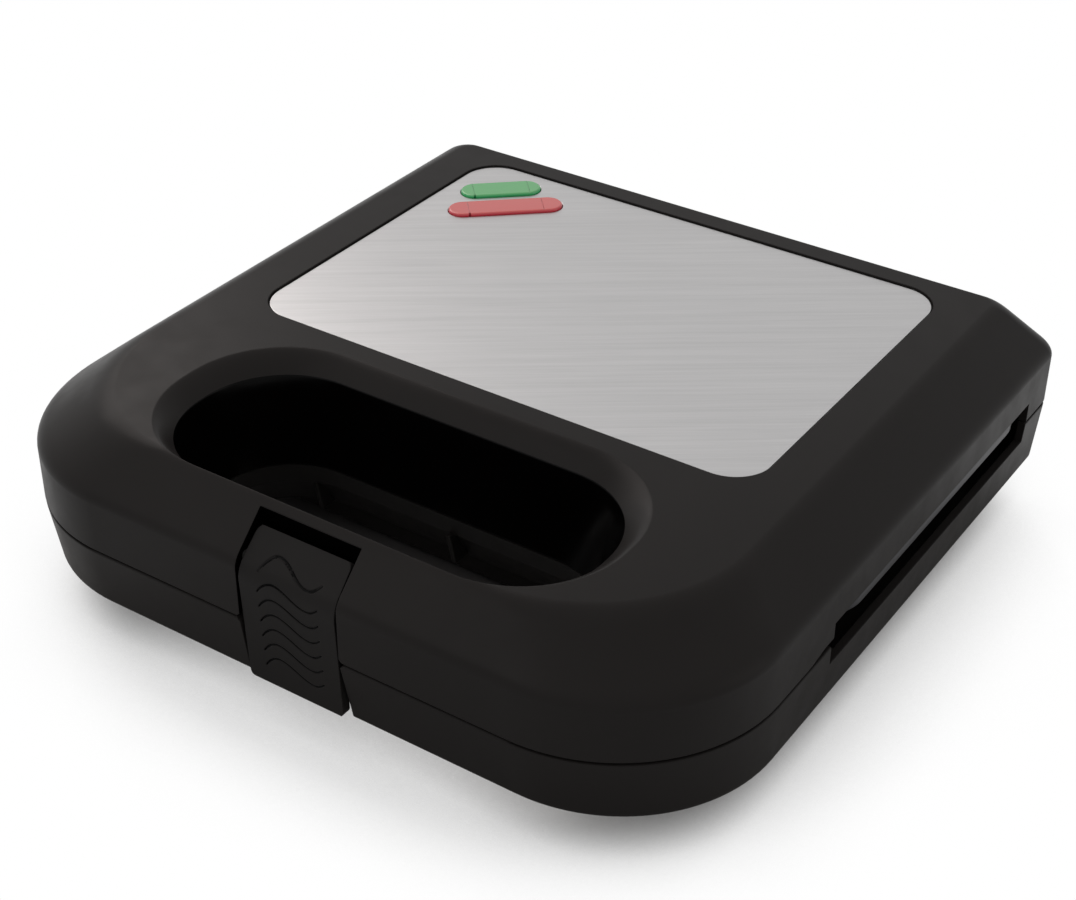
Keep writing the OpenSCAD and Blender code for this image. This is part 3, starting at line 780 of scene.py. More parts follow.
@dataclass(frozen=True)
class LampPlastic(Finish):
    """Tinted clear plastic with small moulded pyramids under its flat top; the top is painted paler, with a
    painted sheen on each facet, than its deeply tinted sides.
    """

    base: Colour = (0.5, 0.03, 0.03)
    pale: Colour = (0.66, 0.12, 0.11)
    deep: Colour = (0.52, 0.003, 0.02)
    facet: float = 1.0
    turn: float = 41.5

    def build(self) -> bpy.types.Material:
        """Builds the lens: a lattice of facets in relief and in painted sheen, on a top painted paler than
        the deeper colour down its sides.

        Returns:
            The material.
        """
        graph = Graph(self.name)
        graph.set(Roughness=0.16, IOR=1.49, Coat_Weight=0.4, Coat_Roughness=0.05, Transmission_Weight=0.1)
        cells = graph.node("TexVoronoi", distance="CHEBYCHEV", Scale=1.0, Randomness=0.0)
        graph.link(graph.place((self.facet, self.facet, self.facet), self.turn + 45), cells.inputs["Vector"])
        # Painted light: the way the surface faces sets the paler, sheened top apart from the deeper sides.
        facing = graph.node("SeparateXYZ")
        graph.link(graph.node("TexCoord").outputs["Normal"], facing.inputs[0])
        lattice = graph.mix(cells.outputs[0], self.pale, self.base)
        graph.tint(graph.ramp(facing.outputs[2], 0.55, 0.95, (0.0, 1.0)), self.deep, lattice)
        graph.bump(cells.outputs[0], 0.12, 0.5, 0.2)
        return graph.material


@dataclass(frozen=True)
class NonStick(Finish):
    """Dark non-stick coating on cast aluminium."""

    base: Colour = (0.028, 0.028, 0.03)
    fleck: Colour = (0.06, 0.06, 0.064)

    def build(self) -> bpy.types.Material:
        """Builds the coating: fine flecks and the soft swell of a casting.

        Returns:
            The material.
        """
        graph = Graph(self.name)
        graph.set(Metallic=0.25)
        fleck = graph.even(0.35, 2, 0.7)
        swell = graph.even(5, 3)
        graph.tint(graph.ramp(fleck, 0.5, 0.7, (0, 1)), self.base, self.fleck)
        graph.gloss(swell, 0.3, 0.7, (0.34, 0.46))
        graph.bump(fleck, 0.01, 0.7, 0.4)
        return graph.material


@dataclass(frozen=True)
class BareMetal(Finish):
    """Plain metal: plated, rolled or heat-stained."""

    base: Colour = (0.55, 0.55, 0.55)
    stain: Colour = (0.4, 0.38, 0.34)
    roughness: Point2 = (0.28, 0.42)
    patch: float = 7.0
    metallic: float = 1.0

    def build(self) -> bpy.types.Material:
        """Builds the metal: clouds of stain and uneven gloss.

        Returns:
            The material.
        """
        graph = Graph(self.name)
        graph.set(Metallic=self.metallic)
        cloud = graph.even(self.patch, 5, 0.6)
        fine = graph.even(0.4, 2)
        graph.tint(graph.ramp(cloud, 0.35, 0.7, (0, 1)), self.base, self.stain)
        graph.gloss(cloud, 0.3, 0.7, self.roughness)
        graph.bump(fine, 0.004, 0.5, 0.2)
        return graph.material


@dataclass(frozen=True)
class Speckled(Finish):
    """A dry, matt surface with fine specks: fired ceramic, or rubber with a dusty bloom."""

    base: Colour
    speck: Colour
    size: float
    octaves: tuple[float, float]
    spread: Point2
    roughness: float
    relief: float
    edge: float

    def build(self) -> bpy.types.Material:
        """Builds the specks in colour and relief.

        Returns:
            The material.
        """
        graph = Graph(self.name)
        graph.set(Roughness=self.roughness)
        specks = graph.even(self.size, *self.octaves)
        graph.tint(graph.ramp(specks, *self.spread, (0, 1)), self.base, self.speck)
        graph.bump(specks, self.relief, 0.6, self.edge)
        return graph.material


@dataclass(frozen=True)
class LampGlass(Finish):
    """Clear glass of a small glow lamp, a little smoked in uneven patches."""

    base: Colour = (0.95, 0.86, 0.78)

    def build(self) -> bpy.types.Material:
        """Builds the glass with a faint uneven film.

        Returns:
            The material.
        """
        graph = Graph(self.name)
        graph.set(Roughness=0.08, IOR=1.47, Transmission_Weight=0.85)
        film = graph.even(2, 3)
        graph.tint(film, self.base, (0.7, 0.55, 0.45))
        graph.bump(film, 0.01, 0.3)
        return graph.material


BLACK = MouldedPlastic("black_moulding")
GRIP_BLACK = MouldedPlastic("latch_moulding", base=(0.0125, 0.012, 0.012), roughness=(0.36, 0.44))
# Partly painted shade: a glossier moulding, which is real, whose near-black colour is painted shade; it goes
# on the hand opening's walls, the latch recess and the latch's grooves.
POLISHED_SHADED = MouldedPlastic(
    "polished_black_painted_shade",
    base=(0.0006, 0.0005, 0.0005),
    worn=(0.0012, 0.001, 0.001),
    roughness=(0.14, 0.2),
    grain=0.0012,
)
STEEL = BrushedSteel("brushed_panel")
# In both lenses the pale colour is the painted sheen of the top's facets, and the deep colour that of the
# sides.
RED = LampPlastic("red_lamp_plastic")
GREEN = LampPlastic("green_lamp_plastic", (0.02, 0.28, 0.06), (0.12, 0.48, 0.16), (0.002, 0.36, 0.09))
COATING = NonStick("plate_coating")
PLATED = BareMetal("plated_steel")
SHEET = BareMetal("shield_sheet", (0.7, 0.7, 0.71), (0.6, 0.6, 0.6), (0.3, 0.45), patch=18.0)
HEATED = BareMetal("heated_steel", (0.3, 0.26, 0.2), (0.16, 0.15, 0.17), (0.35, 0.55), patch=11.0)
BLACK_METAL = BareMetal("black_metal", (0.03, 0.03, 0.03), (0.05, 0.048, 0.045), metallic=0.3)
CERAMIC = Speckled(
    "fired_insulator",
    base=(0.78, 0.74, 0.66),
    speck=(0.62, 0.57, 0.48),
    size=0.8,
    octaves=(4, 0.7),
    spread=(0.55, 0.75),
    roughness=0.62,
    relief=0.03,
    edge=0.25,
)
GLOW_GLASS = LampGlass("glow_lamp_glass")
SOFT = Speckled(
    "foot_rubber",
    base=(0.02, 0.02, 0.02),
    speck=(0.06, 0.058, 0.055),
    size=1.6,
    octaves=(5, 0.65),
    spread=(0.45, 0.8),
    roughness=0.78,
    relief=0.04,
    edge=0.3,
)


# ---------------------------------------------------------------- the hand opening


@dataclass(frozen=True)
class HandOpening:
    """The funnel through both shells, with a rolled lip."""

    width: float = 144.0
    depth: float = 65.0
    front_in: float = 13.5
    lip_h: float = 5.2
    lip_in: float = 5.8
    throat_in: float = 12.2
    throat_low_in: float = 8.5
    steeper_front: float = 0.55
    steps: int = 20

    @property
    def front(self) -> float:
        """Front edge of the opening on the lid's top."""
        return SIZE.front_y + self.front_in

    def ring(self, inset: float, z: float) -> Ring:
        """One level of the opening.

        Args:
            inset: How far the wall has come in from the lip.
            z: Height.

        Returns:
            The ring's points.
        """
        radius = self.depth / 2 - 2 - inset * 0.65
        outline = rounded_outline(
            self.width / 2 - inset,
            self.front + inset * self.steeper_front,
            self.front + self.depth - inset,
            radius,
            radius,
            self.steps,
        )
        return at_height(outline, z)

    def lid_cutter(self, name: str, grow: float, top: float) -> Piece:
        """Solid of the opening in the lid.

        Args:
            name: Name of the cutter.
            grow: How far it is grown outwards, for the wall round it.
            top: How far it runs on above the lid.

        Returns:
            The cutter.
        """
        z = SIZE.top_z
        rings = [self.ring(self.throat_in - grow, SIZE.lid_rim_z - 2)]
        rings.append(self.ring(self.lip_in + 1.2 - grow, z - self.lip_h - 4))
        lip = [(self.lip_in + 0.12, self.lip_h + 0.3), (self.lip_in - 0.1, self.lip_h - 0.1)]
        lip += blend_curve((4.6, 3.9), (1.4, 0.5), (-0.6, 0.0), 10)
        rings += [self.ring(inset - grow, z - drop) for inset, drop in lip]
        if top > 0:
            rings.append(self.ring(-0.6 - grow, z + top))
        return loft(name, rings)

    def holds(self, place: Vector) -> bool:
        """Tells whether a place lies on the opening's wall, below the lip in the lid.

        Args:
            place: The place, in millimetres.

        Returns:
            True where it does.
        """
        inset = self.lip_in - 0.4
        return (
            abs(place.x) < self.width / 2 - inset
            and self.front + 2 < place.y < self.front + self.depth - inset
            and place.z < SIZE.top_z - self.lip_h
        )

    def base_cutter(self, name: str, grow: float, run: float) -> Piece:
        """Solid of the opening in the base, with a fine step line below the rim.

        Args:
            name: Name of the cutter.
            grow: How far it is grown outwards.
            run: How far it runs on below the base.

        Returns:
            The cutter.
        """
        z = SIZE.base_rim_z
        levels = [
            (0.5, SIZE.base_foot_z - run),
            (1.2, SIZE.base_foot_z + 0.8),
            (self.throat_low_in - 0.7, z - 8.3),
            (self.throat_low_in, z - 8),
            (self.throat_in, z + 2),
        ]
        return loft(name, [self.ring(inset - grow, height) for inset, height in levels])


# ---------------------------------------------------------------- the lid


@dataclass
class LidShell:
    """The lid: skirt, bevel and flat top, cut for the panel, lamps, latch, slots and hinge."""

    opening: HandOpening
    front_r: float = 48.0
    crease_r: float = 46.0
    rear_r: float = 6.0
    crease_rear_r: float = 5.0
    bevel_side: float = 16.2
    bevel_front: float = 13.5
    bevel_rear: float = 7.3
    crease_soft: float = 2.2
    steps: int = 26

    def ring(self, share: float, z: float, inset: float, steps: int) -> Ring:
        """One level of the shell.

        Args:
            share: Share of the bevel's inset.
            z: Height.
            inset: Extra inset all round, for the inner face.
            steps: Segments in each quarter turn.

        Returns:
            The ring's points.
        """
        outline = rounded_outline(
            SIZE.half_w - share * self.bevel_side - inset,
            SIZE.front_y + share * self.bevel_front + inset,
            SIZE.back_y - share * self.bevel_rear - inset,
            max(self.front_r + (self.crease_r - self.front_r) * share - inset, 4),
            max(self.rear_r + (self.crease_rear_r - self.rear_r) * share - inset, 3),
            steps,
        )
        return at_height(outline, z)

    def profile(self) -> list[Point2]:
        """Outside profile of the shell.

        Returns:
            Levels from the rim up, as (share of the bevel, height).
        """
        rise, rim, crease, top = SIZE.lid_bevel_h, SIZE.lid_rim_z, SIZE.crease_z, SIZE.top_z
        soft = self.crease_soft
        low = blend_curve((0, crease - soft), (0, crease), (soft / rise, crease + soft), 8)
        high = blend_curve((0.78, top - 0.22 * rise), (1, top), (1.16, top), 9)
        return [(0.03, rim), (0.008, rim + 0.18), (0, rim + 0.5)] + low + high

    def build(self, panel: "TopPanel", lamps: "LampWindows", latch: "Latch") -> Piece:
        """Builds the shell and cuts it.

        Args:
            panel: The panel, for its recess.
            lamps: The lamp windows, for their holes.
            latch: The latch, for its recess.

        Returns:
            The lid's object.
        """
        ceiling, under, wall = panel.seat_z - SIZE.wall, SIZE.lid_rim_z - PAST, SIZE.wall
        share = (ceiling - SIZE.crease_z + 1) / SIZE.lid_bevel_h
        levels = ((0, under), (0, SIZE.crease_z - 1), (share, ceiling))
        hollow = loft("lid_hollow", [self.ring(share, z, wall, 12) for share, z in levels])
        liners = [self.opening.lid_cutter("lid_grip_wall", wall, 0), latch.liner(under)]
        combine(hollow, liners, "DIFFERENCE")
        lid = loft("lid_shell", [self.ring(share, z, 0, self.steps) for share, z in self.profile()])
        cutters = [hollow, self.opening.lid_cutter("lid_grip", 0, 2), latch.recess(under, latch.recess_top_z)]
        cutters += side_slots(under, SIZE.lid_rim_z + SLOT_H, 0.0)
        cutters += rim_reliefs() + latch.seam_notches(SIZE.lid_rim_z)
        cutters += hinge_windows(under, SIZE.hinge_z + SIZE.knuckle_r + 1)
        cutters += [panel.recess(), *lamps.holes()]
        combine(lid, cutters, "DIFFERENCE")
        return smooth(lid, 30)


# The long slots in both side walls: their height and their ends.
SLOT_H = 6.5
SLOT_FRONT = SIZE.front_y + 77
SLOT_BACK = SIZE.front_y + 203


def both_sides(name: str, profile: Sequence[Point2]) -> list[Piece]:
    """Cutters of one profile through the side walls.

    Args:
        name: Name of the cutters.
        profile: The profile as (y, z).

    Returns:
        The two cutters.
    """
    near, far = SIZE.half_w - 7, SIZE.half_w + 2
    return [prism(name, profile, near, far), prism(name, profile, -far, -near)]


def side_slots(z0: float, z1: float, slant: float) -> list[Piece]:
    """Cutters for the long slot in each side.

    Args:
        z0: Lower edge.
        z1: Upper edge.
        slant: How far the front end leans back at the upper edge.

    Returns:
        The two cutters.
    """
    profile = [(SLOT_FRONT, z0), (SLOT_BACK, z0), (SLOT_BACK, z1), (SLOT_FRONT + slant, z1)]
    return both_sides("side_slot", profile)


def rim_reliefs() -> list[Piece]:
    """Builds the cutters for the shallow relief in the lid's rim in front of each slot.

    Returns:
        The two cutters.
    """
    low, high, front = SIZE.lid_rim_z, SIZE.lid_rim_z + 1.7, SLOT_FRONT
    profile = [(front - 15, low - 0.1), (front + 2, low - 2), (front + 2, high), (front - 5, high)]
    return both_sides("rim_relief", profile)


def both_blocks(name: str, x: Point2, y: Point2, z: Point2) -> list[Piece]:
    """Two blocks, mirrored to both sides, from their least and greatest x, y and z on the right."""
    spans = [tuple(sorted((side * x[0], side * x[1]))) for side in (-1, 1)]
    return [block(name, (x0, y[0], z[0]), (x1, y[1], z[1])) for x0, x1 in spans]


def hinge_windows(z0: float, z1: float) -> list[Piece]:
    """Cutters for the hinge brackets in the back wall.

    Args:
        z0: Lower edge.
        z1: Upper edge.

    Returns:
        The two cutters.
    """
    return both_blocks("hinge_window", (51.6, 82.4), (SIZE.back_y - 9.5, SIZE.back_y + 2), (z0, z1))


# ---------------------------------------------------------------- the base


@dataclass
class BaseShell:
    """The base: drafted skirt, floor, belly, the lower half of the hand opening, gussets and catch."""

    opening: HandOpening
    front_r: float = 48.0
    rear_r: float = 6.0
    draft: float = 3.2
    side_draft: float = 1.1
    belly_half_w: float = 94.5
    belly_span: Point2 = (-63.0, 65.0)
    belly_r: float = 14.0
    gusset_x: float = 48.0
    gusset_t: float = 1.6
    catch_half: float = 6.0
    catch_h: float = 3.0
    steps: int = 26

    def ring(self, share: float, inset: float, z: float, steps: int) -> Ring:
        """One level of the base.

        Args:
            share: Share of the draft.
            inset: Extra inset all round.
            z: Height.
            steps: Segments in each quarter turn.

        Returns:
            The ring's points.
        """
        deep = share * self.draft + inset
        outline = rounded_outline(
            SIZE.half_w - share * self.side_draft - inset,
            SIZE.front_y + deep,
            SIZE.back_y - deep,
            self.front_r - deep * 0.6,
            max(self.rear_r - deep * 0.6, 3),
            steps,
        )
        return at_height(outline, z)

    def belly_ring(self, inset: float, z: float) -> Ring:
        """One level of the belly under the cooking plate.

        Args:
            inset: Inset all round.
            z: Height.

        Returns:
            The ring's points.
        """
        front, rear = (SIZE.plate_y + edge for edge in self.belly_span)
        half_w, radius = self.belly_half_w - inset, self.belly_r
        return at_height(rounded_outline(half_w, front + inset, rear - inset, radius, radius, 14), z)

    def build(self, latch: "Latch") -> Piece:
        """Builds the base.

        Args:
            latch: The latch, for its recess.

        Returns:
            The base's object.
        """
        foot, rim, wall = SIZE.base_foot_z, SIZE.base_rim_z, SIZE.wall
        edge = blend_curve((2.2, foot), (0.0, foot), (0.0, foot + 2.2), 7)
        levels = [(1.0, inset, z) for inset, z in edge]
        levels += [(0.04, 0.02, rim - 0.6), (0.02, 0.12, rim - 0.25), (0.0, 0.6, rim)]
        base = loft("base_shell", [self.ring(share, inset, z, self.steps) for share, inset, z in levels])
        inside = ((1.0, foot + wall), (0.0, rim - 3), (0.0, rim + 2))
        hollow = loft("base_hollow", [self.ring(share, wall, z, 12) for share, z in inside])
        blocks = both_blocks("hinge_block", (49.0, 85.0), (SIZE.back_y - 8.5, SIZE.back_y), (foot, rim))
        liners = [self.opening.base_cutter("base_grip_wall", wall, 0), latch.liner(foot, 1.0), *blocks]
        combine(hollow, liners, "DIFFERENCE")
        low = SIZE.foot_h
        inner = ((2.5 + wall, low + wall), (wall, foot), (wall, foot + 4.5))
        outer = ((3, low), (2.2, low + 0.8), (0, foot + 1.25))
        belly_hollow, belly = (
            loft(name, [self.belly_ring(inset, z) for inset, z in rings])
            for name, rings in (("belly_hollow", inner), ("belly", outer))
        )
        combine(base, [belly], "UNION")
        cutters = [hollow, belly_hollow, self.opening.base_cutter("base_grip", 0, 2)]
        cutters.append(latch.recess(foot - 2, rim + 2, 1.0))
        cutters += side_slots(rim - SLOT_H, rim + 2, -1.2) + latch.seam_notches(rim)
        cutters += hinge_windows(SIZE.hinge_z - SIZE.knuckle_r - 1, rim + 2)
        combine(base, cutters, "DIFFERENCE")
        return smooth(base, 30)

    def gussets(self) -> list[Piece]:
        """Builds the tapered gussets under the flared part of the hand opening.

        Returns:
            The three gussets.
        """
        back = self.opening.front + self.opening.depth - self.opening.throat_low_in
        z0, z1 = SIZE.base_foot_z + 1, SIZE.base_rim_z - 8
        profile = [(back - 1.5, z1), (back + 2.5, z1), (back + 7, z0), (back + 1, z0)]
        half = self.gusset_t / 2
        places = (-self.gusset_x, 0, self.gusset_x)
        return [smooth(prism("gusset", profile, x - half, x + half), 30, 0.2) for x in places]

    def catch(self) -> Piece:
        """Builds the bar in the recess that the latch's hook holds under.

        Returns:
            The bar.
        """
        front, half, low = SIZE.front_y, self.catch_half, SIZE.base_rim_z - CATCH_DROP
        bar = block("latch_catch", (-half, front + 4.2, low), (half, front + 14, low + self.catch_h))
        return smooth(bar, 30, 0.4, 3)


# ---------------------------------------------------------------- panel and lamps


@dataclass
class TopPanel:
    """The brushed steel panel in its recess."""

    width: float = 166.4
    depth: float = 119.8
    front_in: float = 86.6
    radius: float = 11.5
    gap: float = 0.5
    recess_h: float = 1.2
    thick: float = 0.7

    @property
    def seat_z(self) -> float:
        """Floor of the recess."""
        return SIZE.top_z - self.recess_h

    @property
    def mid_y(self) -> float:
        """Middle of the panel in depth."""
        return SIZE.front_y + self.front_in + self.depth / 2

    def ring(self, grow: float, z: float, steps: int = 18) -> Ring:
        """Outline of the panel at a height.

        Args:
            grow: How far it is grown outwards.
            z: Height.
            steps: Segments in each quarter turn.

        Returns:
            The ring's points.
        """
        outline = rounded_outline(
            self.width / 2 + grow,
            self.mid_y - self.depth / 2 - grow,
            self.mid_y + self.depth / 2 + grow,
            self.radius + grow,
            self.radius + grow,
            steps,
        )
        return at_height(outline, z)

    def recess(self) -> Piece:
        """Cutter for the recess."""
        return loft("panel_recess", [self.ring(self.gap, self.seat_z), self.ring(self.gap, SIZE.top_z + 2)])

    def build(self, lamps: "LampWindows") -> Piece:
        """Builds the panel with its lamp holes.

        Args:
            lamps: The lamp windows.

        Returns:
            The panel's object.
        """
        top = self.seat_z + self.thick
        levels = ((0, self.seat_z), (0, top - 0.22), (-0.08, top - 0.07), (-0.25, top))
        panel = loft("steel_panel", [self.ring(grow, z) for grow, z in levels])
        combine(panel, lamps.holes(0.3), "DIFFERENCE")
        return smooth(panel, 30)


@dataclass(frozen=True)
class LampWindow:
    """One slanted pill-shaped lens."""

    name: str
    length: float
    side: int
    finish: LampPlastic
    slot: Slot
    joint: float


@dataclass
class LampWindows:
    """The pair of lamp lenses, their holes and their fine lines."""

    panel: TopPanel
    width: float = 9.6
    pitch: float = 12.7
    angle: float = 41.5
    gap: float = 0.15
    proud: float = 0.9
    flange: float = 1.2
    flange_w: float = 1.5
    line_w: float = 0.24
    line_d: float = 0.14
    notch_w: float = 0.64
    notch_d: float = 1.7
    notch_l: float = 0.9
    middle: Point2 = (-62.75, SIZE.front_y + 186.25)
    windows: tuple[LampWindow, ...] = (
        LampWindow("red_lens", 36.9, -1, RED, Slot.LENS_RED, 12.0),
        LampWindow("green_lens", 26.2, 1, GREEN, Slot.LENS_GREEN, 9.0),
    )

    def pill(self, window: LampWindow, grow: float, z: float, steps: int = 14) -> Ring:
        """Outline of a lens, grown outwards, at a height.

        Args:
            window: The lamp window.
            grow: Growth in millimetres.
            z: Height.
            steps: Segments in each quarter turn.

        Returns:
            The ring's points.
        """
        radius = self.width / 2 + grow
        turn = Matrix.Rotation(math.radians(self.angle), 2)
        flat = rounded_outline(window.length / 2 + grow, -radius, radius, radius, radius, steps)
        out = []
        for x, y in flat:
            spun = turn @ Vector((x, y + window.side * self.pitch / 2))
            out.append((self.middle[0] + spun.x, self.middle[1] + spun.y, z))
        return out

    def holes(self, lead_in: float = 0.0) -> list[Piece]:
        """Cutters through the panel and the lid's skin.

        Args:
            lead_in: Width of the rolled edge round each hole in the panel's face.

        Returns:
            The two cutters.
        """
        face = self.panel.seat_z + self.panel.thick
        out = []
        for window in self.windows:
            levels = [(self.gap, self.panel.seat_z - SIZE.wall - 1), (self.gap, face - lead_in)]
            if lead_in > 0:
                edge = ((self.gap, face - lead_in), (self.gap, face), (self.gap + lead_in, face))
                levels += blend_curve(*edge, 4)[1:]
            levels.append((self.gap + lead_in, SIZE.top_z + 3))
            out.append(loft("lamp_hole", [self.pill(window, grow, z) for grow, z in levels]))
        return out

    def joints(self, window: LampWindow, top: float) -> list[Piece]:
        """Cutters for the fine lines across a lens near its ends, and the notch at the foot of the left one.

        Args:
            window: The lamp window.
            top: Height of the lens's crown.

        Returns:
            The cutters.
        """
        half = self.width / 2 + 1
        thin, wide, reach = self.line_w / 2, self.notch_w / 2, self.notch_l - self.width / 2
        lines = []
        for name, x, side, far, depth in (
            ("joint", -window.joint, thin, half, self.line_d),
            ("joint", window.joint, thin, half, self.line_d),
            ("joint_notch", -window.joint, wide, reach, self.notch_d),
        ):
            lines.append(block(name, (x - side, -half, top - depth), (x + side, far, top + 1)))
        turn = Matrix.Rotation(math.radians(self.angle), 4, "Z")
        across = shift(0, window.side * self.pitch / 2)
        return [move(line, shift(*self.middle), turn, across) for line in lines]

    def lens(self, window: LampWindow) -> Piece:
        """Builds one lens: flange, body and a rounded crown.

        Args:
            window: The lamp window.

        Returns:
            The lens.
        """
        ceiling = self.panel.seat_z - SIZE.wall
        top = self.panel.seat_z + self.panel.thick + self.proud
        foot = ((self.flange_w, ceiling - self.flange), (self.flange_w, ceiling), (0, ceiling))
        rings = [self.pill(window, grow, z) for grow, z in foot]
        crown = blend_curve((0, top - 0.75), (0, top - 0.12), (-0.75, top), 6)
        rings += [self.pill(window, grow, z) for grow, z in crown]
        lens = loft(window.name, rings)
        return smooth(combine(lens, self.joints(window, top), "DIFFERENCE"), 40)

    def build(self) -> None:
        """Builds both lenses and puts them on the lid."""
        for window in self.windows:
            settle(self.lens(window), Body.LID, window.finish, [window.name])


# ---------------------------------------------------------------- the latch


@dataclass(frozen=True)
class Wave:
    """One S-shaped groove: where it starts, crests, dips and ends along x, and its drops below the crest.

    Its tool has a radius, and the tool's axis a lift over the outer face.
    """

    start: float
    crest: float
    trough: float
    end: float
    start_drop: float
    trough_drop: float
    end_drop: float
    radius: float
    lift: float

    def tool_radius(self, share: float) -> float:
        """Radius of the tool at a share of the groove, less towards both ends."""
        return self.radius * (0.75 + 0.25 * min(1.0, 9 * share, 9 * (1 - share)))

    def points(self, count: int = 48) -> list[Point2]:
        """Points of the groove as (x, height above the crest).

        Args:
            count: Number of segments.

        Returns:
            The points, left to right.
        """
        out = []
        for i in range(count + 1):
            x = self.start + (self.end - self.start) * i / count
            if x < self.crest:
                height = -self.start_drop * ((self.crest - x) / (self.crest - self.start)) ** 2
            elif x < self.trough:
                turn = math.pi * (x - self.crest) / (self.trough - self.crest)
                height = self.trough_drop * (math.cos(turn) - 1) / 2
            else:
                rise = self.trough_drop - self.end_drop
                height = rise * ((x - self.trough) / (self.end - self.trough)) ** 2 - self.trough_drop
            out.append((x, height))
        return out


@dataclass
class Latch:
    """The rocking latch: a bent clip with S-shaped grip grooves, and its hook."""

    width: float = 31.0
    thick: float = 2.8
    recess_w: float = 32.6
    recess_d: float = 13.0
    recess_drop: float = 2.2
    length: float = 36.2
    proud: float = 0.1
    lean: float = 0.045
    bend_reach: float = 4.1
    tab_reach: float = 9.3
    bevel_run: float = 13.5
    drop: float = 1.8
    pivot_in: float = 4.5
    pivot_drop: float = 0.2
    boss_r: float = 1.95
    pin_bore_r: float = 1.55
    hook_half: float = 5.0
    face_wave: Wave = Wave(-9.6, -4.4, 6.5, 10.1, 4.1, 3.6, 1.6, 0.34, -0.16)
    tab_wave: Wave = Wave(-9.8, -5.3, 6.1, 9.8, 5.6, 5.1, 2.3, 0.55, 0.19)
    face_crest: float = -0.7
    tab_crest: float = 7.0
    groove_pitch: float = 4.93
    groove_count: int = 6

    @property
    def recess_top_z(self) -> float:
        """Top of the recess in the lid."""
        return SIZE.top_z - self.recess_drop

    @property
    def bend(self) -> Point2:
        """The outer bend between the sloping tab and the upright face, as (y, z)."""
        return SIZE.front_y - self.proud, SIZE.crease_z - self.drop

    @property
    def tab(self) -> Point2:
        """The upper edge of the sloping tab, as (y, z)."""
        y, z = self.bend
        return y + self.tab_reach, z + self.tab_reach * SIZE.lid_bevel_h / self.bevel_run

    @property
    def pivot(self) -> Point2:
        """The latch axis, as (y, z)."""
        return SIZE.front_y + self.pivot_in, SIZE.crease_z - self.pivot_drop

    def recess(self, z0: float, z1: float, flare: float = 0.0) -> Piece:
        """Cutter for the latch's recess.

        Args:
            z0: Lower end.
            z1: Upper end.
            flare: How much wider the lower end is at each side.

        Returns:
            The cutter.
        """
        half, low = self.recess_w / 2, self.recess_w / 2 + flare
        outline = [(-low, z0), (low, z0), (half, z1), (-half, z1)]
        return loft("latch_recess", upright(outline, (SIZE.front_y + self.recess_d, SIZE.front_y - 4)))

    def liner(self, z0: float, flare: float = 0.0) -> Piece:
        """Solid that keeps a wall round the recess when the hollow is cut.

        Args:
            z0: Lower end.
            flare: Extra width at each side.

        Returns:
            The solid.
        """
        half = self.recess_w / 2 + SIZE.wall + flare
        y0, y1 = SIZE.front_y + SIZE.wall / 2, SIZE.front_y + self.recess_d + SIZE.wall
        return block("latch_liner", (-half, y0, z0), (half, y1, SIZE.top_z))

    def seam_notches(self, z: float) -> list[Piece]:
        """Builds the cutters for the small diamonds in the recess corners.

        Args:
            z: Height of the rim that they lie at.

        Returns:
            The two cutters.
        """
        half, reach = self.recess_w / 2 + 0.1, 1.6 / math.sqrt(2)
        y0, y1 = SIZE.front_y - 2, SIZE.front_y + SIZE.wall
        out = []
        for x in (-half, half):
            outline = [(x, z - reach), (x + reach, z), (x, z + reach), (x - reach, z)]
            out.append(loft("seam_notch", upright(outline, (y1, y0))))
        return out

    def skin(self, up: float) -> Point2:
        """Point on the outer face.

        Args:
            up: Distance up from the bend, negative below it.

        Returns:
            The point, as (y, z).
        """
        (by, bz), (ty, tz) = self.bend, self.tab
        reach = self.bend_reach
        if up <= -reach:
            return by - up * self.lean, bz + up
        run = math.hypot(ty - by, tz - bz)
        slope = ((ty - by) / run, (tz - bz) / run)
        if up >= reach:
            return by + slope[0] * up, bz + slope[1] * up
        t = (reach - up) / (2 * reach)
        a, c = (by + slope[0] * reach, bz + slope[1] * reach), (by + reach * self.lean, bz - reach)
        return tuple((1 - t) ** 2 * a[i] + 2 * t * (1 - t) * (by, bz)[i] + t * t * c[i] for i in (0, 1))

    def over(self, up: float, height: float) -> Point2:
        """Point over the outer face.

        Args:
            up: Distance up from the bend.
            height: Height above the face.

        Returns:
            The point, as (y, z).
        """
        (y0, z0), (y1, z1) = self.skin(up - 0.1), self.skin(up + 0.1)
        run = math.hypot(y1 - y0, z1 - z0)
        y, z = self.skin(up)
        return y - (z1 - z0) / run * height, z + (y1 - y0) / run * height

    def groove_tubes(self) -> list[Piece]:
        """Builds the cutters for the grooves on the upright face and the large one on the tab.

        Returns:
            The cutters.
        """
        waves = [(self.face_wave, self.face_crest - k * self.groove_pitch) for k in range(self.groove_count)]
        out = []
        for wave, crest in [*waves, (self.tab_wave, self.tab_crest)]:
            path = [Vector((x, *self.over(crest + height, wave.lift))) for x, height in wave.points()]
            out.append(tube("groove", path, wave.tool_radius, 10))
        return out

    def in_recess(self, place: Vector) -> bool:
        """Whether a place, in millimetres, lies on a wall of the recess, clear of its mouth."""
        inside = abs(place.x) < self.recess_w / 2 + 0.3 and place.z < SIZE.top_z - 4
        return inside and 1.5 < place.y - SIZE.front_y < self.recess_d + 0.1

    def in_groove(self, place: Vector) -> bool:
        """Tells whether a place lies just under the outer face, as the grooves' walls do.

        Args:
            place: The place, in millimetres.

        Returns:
            True where it does.
        """
        ups = [0.4 * i - self.length for i in range(int((self.length + 14) / 0.4))]
        under = min(math.hypot(place.y - y, place.z - z) for y, z in map(self.skin, ups))
        return abs(place.x) < 11 and 0.25 < under < 0.9

